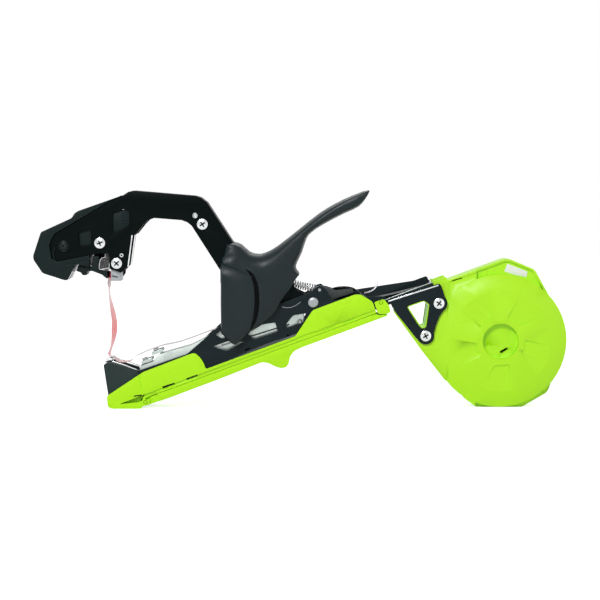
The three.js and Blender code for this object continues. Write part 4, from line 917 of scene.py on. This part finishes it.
cup_x, cup_z = reel_x - 9.3, reel_z - 3.5
cup_hole = 0.6
cup_floor = near_face("reel_case", cup_x, cup_z)
flap_slot = [
    (reel_x - 0.1, reel_z - 7.8), (reel_x + 5.2, reel_z - 4.7),
    (reel_x + 6.5, reel_z - 6.4), (reel_x + 1.3, reel_z - 9.5),
]
flap_cuts = [
    band([(reel_x + 6.9, reel_z - 5.7), (reel_x + 9.4, reel_z - 8.2)], 0.35),
    band([(reel_x + 0.1, reel_z - 10.0), (reel_x + 0.1, reel_z - 12.4)], 0.35),
]
corner_slot = [(100.9, 14.9), (108.3, 17.2), (108.0, 18.0), (100.6, 15.8)]
wedge_first, wedge_step, wedge_half, wedge_skew = 129.3, 72.0, 17.4, 7.0
wedge_in, wedge_out = 18.4, 33.5
wedge_depth = 0.75
wedge_slope = 1.1
cutter_above = 1.0


def reel_point(radius, degrees):
    """A point on a circle round the middle of the reel."""
    angle = math.radians(degrees)
    return (reel_x + radius * math.cos(angle), reel_z + radius * math.sin(angle))


def sunk(outline, face, depth):
    """A closed cutter for a pocket of a given depth under a face."""
    return slab(outline, face - cutter_above, face + depth, 0)


def sunk_wedge(centre_angle, face):
    """A cutter whose floor is deepest by the hub and rises to the face at its outer end."""
    turns = [centre_angle + wedge_half * (1 - step / 3) for step in range(7)]
    inner = [reel_point(wedge_in, angle) for angle in turns]
    outer = [
        reel_point(wedge_out, angle - wedge_skew * (angle - centre_angle) / wedge_half) for angle in turns
    ]
    mesh = sunk(inner + outer[::-1], face, wedge_depth)
    reach = (wedge_out - wedge_in) * mm
    hub = spot(reel_x, reel_z)
    for corner in mesh.vertices:
        if corner.co.y > hinge.y + face * mm:
            out = math.hypot(corner.co.x - hub.x, corner.co.z - hub.z) - wedge_in * mm
            corner.co.y -= wedge_depth * mm * out / reach * wedge_slope
    return mesh


face_at = near_face("reel_case", *reel_point(wedge_out + 1.0, wedge_first + wedge_step / 2))
case_pockets = merged(
    *[sunk_wedge(wedge_first - wedge_step * wedge, face_at) for wedge in range(5)],
    sunk(round_outline(cup_x, cup_z, cup_hole), cup_floor, depth=0.8),
    *[sunk(outline, cup_floor, depth=0.5) for outline in flap_cuts],
    sunk(flap_slot, cup_floor, depth=1.6),
    slab(corner_slot, near=-14.0, far=-2.0, ease=0),
)
dressed("case_shell", "reel_case", "frame", lime_gloss, 0.0004, crease=22.0, pockets=case_pockets)
dressed("lid_shell", "reel_lid", "reel_lid", lime_gloss, 0.0005, crease=22.0)
dressed("lid_pin", "lid_hinge_pin", "frame", zinc_plate, 0.0001)

# Label: a small blank paper label with five corners.
# It is stuck on the upper part of the case's near face.
label_paper = grained(
    "label_paper", (0.78, 0.79, 0.77), (0.42, 0.55), drift=0.02, patch=80.0, grain=2400.0, relief=0.05,
)
label_outline = [(139.1, 22.0), (141.1, 27.7), (156.0, 21.9), (155.3, 17.9), (147.0, 19.3)]
label_faces = [near_face("reel_case", x, z) for x, z in ((141.5, 24.5), (147.5, 22.5), (153.5, 20.3))]
label_proud = 0.12
label_thick = 0.2
label_at = min(label_faces) - label_proud
label = slab(label_outline, label_at, label_at + label_thick, ease=0.08)
place("label", label, "frame", label_paper, slot="green_plastic")

# Spool core and roll: a slate core that turns on the bearing cup, and the plastic tape wound
# on it in close layers, which show as fine rings on both faces of the roll.
core_slate = grained(
    "core_slate", (0.03, 0.042, 0.045), (0.36, 0.5), drift=0.06, patch=60.0, grain=2000.0, relief=0.1,
)
dressed("core_ring", "spool_core", "spool", core_slate, 0.0003)
streak_scale = (900.0, 1500.0, 60.0)
film_relief = 0.3
film_roughness = 0.28


def tape_film(name, stretch, colours, clear=0.0):
    """Plastic tape: streaks along its length, and a colour that changes with height."""
    material, tree, shader = blank_material(name)
    where = node(tree, "ShaderNodeTexCoord").outputs["Object"]
    height = node(tree, "ShaderNodeSeparateXYZ", {"Vector": where}).outputs["Z"]
    rise = node(tree, "ShaderNodeMapRange", {
        "Value": height, "From Min": stretch[0], "From Max": stretch[1],
    })
    ramp = node(tree, "ShaderNodeValToRGB", {"Fac": rise.outputs["Result"]})
    stops = ramp.color_ramp.elements
    while len(stops) < len(colours):
        stops.new(0.5)
    for stop, (share, colour) in zip(stops, colours):
        stop.position = share
        stop.color = (*colour, 1.0)
    long_way = node(tree, "ShaderNodeMapping", {"Vector": where, "Scale": streak_scale}).outputs["Vector"]
    streaks = node(tree, "ShaderNodeTexNoise", {"Vector": long_way, "Scale": 1.0, "Detail": 3.0})
    streak = streaks.outputs["Fac"]
    spread = node(tree, "ShaderNodeMapRange", {
        "Value": streak, "From Min": 0.45, "From Max": 0.7, "To Max": 0.5,
    })
    pale = node(tree, "ShaderNodeMixRGB", {
        "Fac": spread.outputs["Result"], "Color1": ramp.outputs["Color"], "Color2": (0.5, 0.5, 0.5, 1.0),
    }, blend_type="SCREEN")
    bump = node(tree, "ShaderNodeBump", {
        "Strength": film_relief, "Distance": grain_depth, "Height": streak,
    })
    tree.links.new(pale.outputs["Color"], shader["Base Color"])
    tree.links.new(bump.outputs["Normal"], shader["Normal"])
    shader["Roughness"].default_value = film_roughness
    shader["Transmission Weight"].default_value = clear
    return material


roll_colours = [(0.0, (0.72, 0.2, 0.2)), (0.5, (0.8, 0.3, 0.28)), (1.0, (0.72, 0.2, 0.2))]
roll_film = tape_film("roll_film", (0.01, 0.09), roll_colours)
low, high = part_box("tape_roll")
roll_centre = middle("tape_roll")
roll_outer = (high[0] - low[0]) / 2
roll_inner = 0.0178
layers = 36
lip = 0.00012
layer = (roll_outer - roll_inner) / layers
near_rim = []
for step in range(layers):
    start = roll_inner + step * layer
    near_rim += [
        (start, low[1] + lip), (start + 0.5 * layer, low[1]), (start + 0.9 * layer, low[1] + 0.3 * lip),
    ]
near_rim.append((roll_outer, low[1] + lip))
far_rim = [(radius, -y) for radius, y in reversed(near_rim)]
roll_profile = near_rim + far_rim + [near_rim[0]]
roll_mesh = turned(roll_profile, (roll_centre.x, roll_centre.z), 72)
place("wound_roll", roll_mesh, "spool", roll_film, "tape_roll", slot="tape")

# Lever arm: a pressed steel channel, open below and painted black.
# Its walls spread into the two plates of the head, which carry the clincher and the cutter.
lever_paint = grained(
    "lever_paint", (0.0006, 0.0032, 0.003), (0.26, 0.34), drift=0.2, patch=30.0, grain=900.0, relief=0.04,
    Specular_IOR_Level=0.05,
)
dressed("lever_channel", "lever_arm", "lever", lever_paint, 0.0003)

# Nose cover: a black moulded cap round the front and the top of the head, held by one screw.
# A filler of the same plastic between the plates shows in their windows.
cap_black = grained(
    "cap_black", (0.0045, 0.0115, 0.011), (0.36, 0.48), drift=0.1, patch=50.0, grain=1800.0, relief=0.1,
    Specular_IOR_Level=0.12,
)
dressed("head_cap", "nose_cover", "lever", cap_black, 0.0004)
dressed("head_filler", "head_block", "lever", cap_black, 0.0002)

# The head's own fasteners and fittings: two bright screws, a black one in the cap, the arm's
# screw with its spacer and pin, and the pin of the return spring.
screw("head_screw_low", "head_screw_front", "lever", bright_screw, turn=0.35)
screw("head_screw_high", "head_screw_rear", "lever", bright_screw, turn=0.8)
screw("cap_screw", "nose_screw", "lever", cap_black, turn=0.2)
screw("arm_bolt", "arm_screw", "lever", bright_screw, turn=0.6)
dressed("spacer_tube", "arm_spacer", "lever", dull_zinc, 0.0001)
for pin in ("arm_pin", "lever_spring_pin"):
    place(f"{pin}_turned", eased_pin(pin), "lever", zinc_plate, pin)

head_side = near_face("lever_arm", -150.0, 50.0)
white_ring = grained(
    "white_ring", (0.75, 0.76, 0.76), (0.3, 0.4), drift=0.05, patch=300.0, grain=2000.0, relief=0.05,
)


def ring_on_side(x, z, outer, inner, rise):
    """A small turned collar on the near side of the head, its crown a little above its rim."""
    foot, rim = spot(x, z, head_side), spot(x, z, head_side - rise)
    crown = rim.y - 0.1 * mm
    profile = [
        (inner * mm, foot.y), (inner * mm, rim.y), (0.5 * (inner + outer) * mm, crown),
        (outer * mm, rim.y), (outer * mm, foot.y), (inner * mm, foot.y),
    ]
    return turned(profile, (foot.x, foot.z), 24)


rings = (
    ("catch_stop", -138.7, 34.0, 1.35, 0.75, 0.4, white_ring, "bright_steel"),
    ("arm_pin_collar", -85.3, 62.7, 1.9, 1.25, 0.25, dull_zinc, "zinc_steel"),
    ("cap_screw_collar", -180.3, 40.7, 4.0, 3.5, 0.9, cap_black, "black_steel"),
)
for name, x, z, outer, inner, rise, material, slot in rings:
    place(name, ring_on_side(x, z, outer, inner, rise), "lever", material, slot=slot)

# Head trim: edges of the two side plates as zinc strips, partly bare steel and partly painted
# highlight where they catch the light, the pressed clip in the upper window and the thin lips of the
# cap, all riding on the lever.
edge_line = [(-130.9, 48.6), (-134.1, 25.8)]
inner_line = [(x + 0.9, z) for x, z in edge_line]
front_lines = [[(-174.2, 22.2), (-178.0, 15.9)], [(-172.9, 22.2), (-176.4, 16.1)]]
fine_ease = 0.05
# Zinc strips on the plates' edges: bare steel, and a painted highlight of the light they catch.
bare_edges_and_glints = merged(
    slab(band(edge_line, 0.8), head_side - 0.12, head_side + 0.3, fine_ease),
    slab(band(inner_line, 0.35), near=7.2, far=7.9, ease=fine_ease),
    *[slab(band(line, 0.35), near=-9.5, far=-9.0, ease=fine_ease) for line in front_lines],
)
place("bare_edges_and_glints", bare_edges_and_glints, "lever", zinc_plate, slot="zinc_steel")
clip_outline = [(-138.4, 59.4), (-132.8, 59.4), (-132.8, 67.2), (-138.4, 67.2)]
hook_outline = [(-138.7, 57.9), (-135.1, 58.3), (-134.9, 57.0), (-136.8, 57.4), (-138.5, 56.8)]
window_clip = merged(
    slab(clip_outline, near=-7.6, far=-6.9, ease=0.3), slab(hook_outline, near=-7.4, far=-6.9, ease=0.1),
)
place("window_clip", window_clip, "lever", frame_paint, slot="black_steel")
lip_line = [(-138.3, 67.1), (-132.9, 67.3)]
clip_lip = slab(band(lip_line, 0.35), near=-7.75, far=-7.3, ease=fine_ease)
place("clip_lip", clip_lip, "lever", rail_zinc, slot="zinc_steel")
cap_lip = [(-178.3, 26.5), (-172.0, 27.6), (-165.9, 28.9)]
front_lip = [(-186.6, 39.8), (-188.3, 35.6), (-187.2, 31.2)]
lips = merged(*[
    slab(band(line, 0.3), near=-9.95, far=-9.5, ease=fine_ease) for line in (cap_lip, front_lip)
])
place("cap_lips", lips, "lever", nose_slate, slot="slate_plastic")

# Clincher and cutter: the plated steel anvil that folds the staple's legs, with a dark strip of painted
# shade on its side for the slot there, and in front of it a black holder with the toothed blade that cuts the
# tape.
dressed("clincher_block", "clincher", "lever", dull_zinc, 0.0003)
clincher_side = near_face("clincher", -144.0, 18.7)
# A dark strip on the clincher's near face: painted shade, standing for its slot.
die_line = [(-146.3, 19.0), (-141.9, 18.0)]
die_slot_shade = slab(band(die_line, 1.0), clincher_side - 0.1, clincher_side + 0.3, fine_ease)
place("die_slot_shade", die_slot_shade, "lever", recess_shade, slot="black_steel")
dressed("cutter_arm", "cutter_holder", "lever", cap_black, 0.0003)
dressed("toothed_blade", "cutter_blade", "lever", polished_steel, 0.00005)

# Tape catch: a jaw moulded in clear plastic that pinches the end of the tape, hung on the
# rear screw of the head.
clear_plastic, clear_tree, clear_shader = blank_material("clear_plastic")
clear_shader["Transmission Weight"].default_value = 1.0
clear_shader["IOR"].default_value = 1.46
haze_at = node(clear_tree, "ShaderNodeTexCoord").outputs["Object"]
haze = node(clear_tree, "ShaderNodeTexNoise", {"Vector": haze_at, "Scale": 500.0}).outputs["Fac"]
haze_level = node(clear_tree, "ShaderNodeMapRange", {"Value": haze, "To Min": 0.02, "To Max": 0.22})
clear_tree.links.new(haze_level.outputs["Result"], clear_shader["Roughness"])
frosted_edge = grained(
    "frosted_edge", (0.7, 0.72, 0.72), (0.4, 0.5), drift=0.05, patch=400.0, grain=2500.0, relief=0.1,
)
jaw_materials = (clear_plastic, frosted_edge)
dressed("catch_jaw", "tape_catch", "tape_catch", jaw_materials, 0.0003, edge_slot=1)

catch_side = near_face("tape_catch", -151.5, 27.0)
catch_line = [
    (-150.9, 35.3), (-151.0, 32.4), (-153.3, 32.0), (-154.6, 30.6), (-155.6, 24.6),
    (-154.9, 23.6), (-149.6, 24.4), (-148.3, 24.4), (-147.6, 30.0), (-147.2, 35.0),
]
catch_rim = slab(band(catch_line, 0.45), catch_side - 0.02, catch_side + 0.5, fine_ease)
place("catch_rim", catch_rim, "tape_catch", frosted_edge, slot="clear_plastic")

# Handle: a hollow shell of grained slate grey nylon with side pads, a saddle and a horn.
# It sits over the steel arm of the lever.
handle_slate = grained(
    "handle_slate", (0.0035, 0.0112, 0.0128), (0.34, 0.44), drift=0.2, patch=300.0, grain=1700.0, relief=0.25,
    Specular_IOR_Level=0.24,
)
dressed("handle_grip", "handle", "lever", handle_slate, 0, crease=40.0)

# Shade at the edge of the thumb pad: a dark strip laid on the grip's skin along the pad's rear side,
# painted shade for the steep side of the raised pad. It is the handle's nylon made darker, as if turned away
# from the light.
pad_shade = grained(
    "pad_shade", (0.0012, 0.0026, 0.003), (0.45, 0.55), drift=0.1, patch=200.0, grain=1700.0, relief=0.2,
    Specular_IOR_Level=0.12,
)
pad_line = [
    (-48.7, 24.7), (-44.2, 20.3), (-41.5, 13.7), (-40.6, 4.8), (-40.9, -4.1), (-42.6, -13.0),
    (-45.7, -20.7),
]
pad_widths = [0.5, 2.4, 3.2, 3.4, 3.4, 3.0, 0.6]


def smoothed(points, steps=8):
    """Points along a smooth curve through the given ones, as a Catmull-Rom spline."""
    padded = [2 * points[0] - points[1], *points, 2 * points[-1] - points[-2]]
    result = []
    for a, b, c, d in zip(padded, padded[1:], padded[2:], padded[3:]):
        for step in range(steps):
            t = step / steps
            result.append(0.5 * (
                2 * b + (c - a) * t + (2 * a - 5 * b + 4 * c - d) * t ** 2 + (3 * b - a - 3 * c + d) * t ** 3
            ))
    return result + [points[-1]]


def skin_strip(node_name, line, widths, lift=0.12, thick=0.3, across=4):
    """A closed strip that follows the near skin of a node along a line, in millimetres."""
    points = smoothed([Vector(point) for point in line], 3)
    shape = bmesh.new()
    rows = []
    for index, point in enumerate(points):
        way = (points[min(index + 1, len(points) - 1)] - points[max(index - 1, 0)]).normalized()
        side = Vector((-way.y, way.x))
        share = index / (len(points) - 1) * (len(widths) - 1)
        low_index = min(int(share), len(widths) - 2)
        part = share - low_index
        width = widths[low_index] * (1 - part) + widths[low_index + 1] * part
        row = []
        for step in range(across + 1):
            at = point + side * width * (step / across - 0.5)
            row.append(shape.verts.new(spot(at.x, at.y, near_face(node_name, at.x, at.y) - lift)))
        rows.append(row)
    for before, after in zip(rows, rows[1:]):
        for step in range(across):
            shape.faces.new((before[step], before[step + 1], after[step + 1], after[step]))
    bmesh.ops.solidify(shape, geom=list(shape.faces), thickness=thick * mm)
    bmesh.ops.recalc_face_normals(shape, faces=shape.faces)
    return as_mesh(shape, 180.0)


place("pad_edge_shade", skin_strip("handle", pad_line, pad_widths), "lever", pad_shade, slot="slate_plastic")

# Return spring: a hooked wire spring from the lever's pin to the frame's pin, which opens the
# tool.
spring_start, spring_end = middle("lever_spring_pin"), middle("spring_anchor_pin")
return_coil = {"radius": 0.0028, "wire": 0.0004, "turns": 9, "hook": 0.0017}
return_mesh = coil("return_coil", spring_start, spring_end, **return_coil)
return_piece = linked("return_coil", return_mesh)
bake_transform(return_piece)
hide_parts("return_spring")

# Tape: a thin strip of plastic from the roll through the rear channel and along the top of the
# magazine to the guide, then up to the catch in the head. It twists a little on its way.


def ribbon(tree, given):
    """A flat strip along the given curve, its width across the tool, turned by the curve's tilt."""
    upright = node(tree, "GeometryNodeSetCurveNormal", {
        "Curve": given["Geometry"], "Normal": (0.0, 1.0, 0.0),
    }, mode="FREE")
    profile = node(tree, "GeometryNodeCurvePrimitiveQuadrilateral", {
        "Width": given["Width"], "Height": given["Thick"],
    })
    swept = node(tree, "GeometryNodeCurveToMesh", {
        "Curve": upright.outputs["Curve"], "Profile Curve": profile.outputs["Curve"], "Fill Caps": True,
    })
    return swept.outputs["Mesh"]


ribbon_tree = tree_with("ribbon", ("Width", "Thick"), ribbon)
tape_width = 0.011
tape_thick = 0.0002


def eased_between(table, share):
    """The value at a share of the way, with smooth steps between the given ones."""
    for (start, before), (end, after) in zip(table, table[1:]):
        if share <= end:
            t = max(0.0, (share - start) / (end - start))
            return before + (after - before) * t * t * (3 - 2 * t)
    return table[-1][1]


def tape_strip(name, points, twist, material):
    """The strip through the points, turned along its way by twist, a list of (share, degrees)."""
    line = bpy.data.curves.new(name, "CURVE")
    line.dimensions = "3D"
    spline = line.splines.new("POLY")
    path = smoothed(points)
    spline.points.add(len(path) - 1)
    for index, point in enumerate(path):
        share = index / (len(path) - 1)
        spline.points[index].co = (*point, 1.0)
        spline.points[index].tilt = math.radians(eased_between(twist, share))
    sizes = {"Width": tape_width, "Thick": tape_thick}
    return grown(name, ribbon_tree, material, sizes, Matrix(), base=line)


lead_route = [
    (90.0, -18.75), (80.0, -17.5), (52.0, -14.25), (40.0, -12.0), (36.0, -8.5), (30.0, -1.5), (20.0, 2.25),
    (12.0, 3.5), (6.0, 3.4), (0.0, 3.4), (-10.0, 3.5), (-24.0, 5.0), (-48.0, 5.75), (-72.0, 5.9),
    (-100.0, 6.0), (-116.0, 8.0), (-134.0, 7.5), (-140.0, 5.5), (-148.0, 7.5), (-151.8, 12.8),
]
lead_start = spot(140.46, 7.93)
lead_points = [lead_start] + [arm_spot(u, v) for u, v in lead_route]
lead_twist = [(0.0, 0.0), (0.24, 0.0), (0.34, 22.0), (0.44, 0.0), (1.0, 0.0)]
lead_colours = [(0.0, (0.7, 0.2, 0.22)), (0.12, (0.4, 0.34, 0.35)), (1.0, (0.16, 0.17, 0.17))]
lead_film = tape_film("lead_film", (0.03, 0.092), lead_colours)
lead_mesh = tape_strip("tape_run", lead_points, lead_twist, lead_film)
place("tape_run", lead_mesh, "frame", None, "tape_lead", slot="tape")

span_line = [
    (-149.9, -39.9), (-147.7, -32.4), (-146.1, -24.7), (-145.6, -16.6), (-146.1, -11.2), (-147.0, -5.8),
    (-148.3, 0.8), (-149.1, 6.6), (-149.2, 11.0), (-148.9, 15.7), (-148.6, 22.2),
]
span_points = [spot(x, z) for x, z in span_line]
span_twist = [
    (0.0, 17.0), (0.06, 13.0), (0.26, 28.0), (0.44, 26.0), (0.7, 13.0), (0.74, 12.0), (0.84, 20.0),
    (1.0, 18.0),
]
span_colours = [
    (0.0, (0.72, 0.05, 0.12)), (0.07, (0.8, 0.2, 0.24)), (0.3, (0.9, 0.13, 0.13)),
    (0.5, (0.88, 0.2, 0.2)), (0.72, (0.78, 0.36, 0.38)), (0.88, (0.55, 0.38, 0.4)),
    (0.91, (0.75, 0.02, 0.04)), (1.0, (0.7, 0.01, 0.03)),
]
span_heights = (hinge.z - 0.0405, hinge.z + 0.0222)
span_film = tape_film("span_film", span_heights, span_colours, clear=0.12)
span_mesh = tape_strip("tape_drop", span_points, span_twist, span_film)
span_piece = linked("tape_drop", span_mesh)
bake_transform(span_piece)
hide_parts("tape_span")

# Tape chute: two dark mottled cheeks beside the tape behind the pivot, with a round nose at the
# rear, and the bright tongue that holds the return spring's hook.
chute_grey = grained(
    "chute_grey", (0.05, 0.056, 0.058), (0.4, 0.6), drift=0.7, patch=900.0, grain=1500.0, relief=0.3,
    Specular_IOR_Level=0.15,
)
chute_outline = [
    (3.5, 11.6), (9.6, 10.7), (16.3, 8.6), (25.2, 9.5), (27.9, 9.9), (29.2, 8.6), (29.2, 6.6), (25.2, 5.3),
    (19.6, 3.6), (13.0, 0.9), (7.5, 4.2), (4.1, 8.6),
]
cheeks = on_both_sides(chute_outline, thick=1.1, near=-6.9, far=5.8, ease=0.2)
place("tape_chute", cheeks, "frame", chute_grey, slot="black_steel")
tongue = slab([(2.2, 11.6), (5.0, 9.9), (2.2, 8.9)], near=-7.2, far=-6.8, ease=0.1)
place("hook_tongue", tongue, "frame", zinc_plate, slot="bright_steel")

# Arc highlight: a thin strip of dull zinc on the frame by the pivot, a painted highlight for the
# light caught along the edge of a plate there.
highlight_line = [(-22.5, -3.3), (-19.5, -3.9), (-16.0, -3.7), (-12.4, -2.2), (-9.2, 0.3)]
frame_side = near_face("main_frame", -16.0, -3.7)
highlight_strip = slab(band(highlight_line, 0.3), frame_side - 0.06, frame_side + 0.2, ease=0)
place("arc_highlight", highlight_strip, "frame", dull_zinc, slot="zinc_steel")

# Tape wire: a bent spring wire from the far wall across the rear channel, which keeps the tape
# down where it turns into the arm.
dressed("keeper_wire", "tape_wire", "frame", polished_steel, 0, crease=70.0)
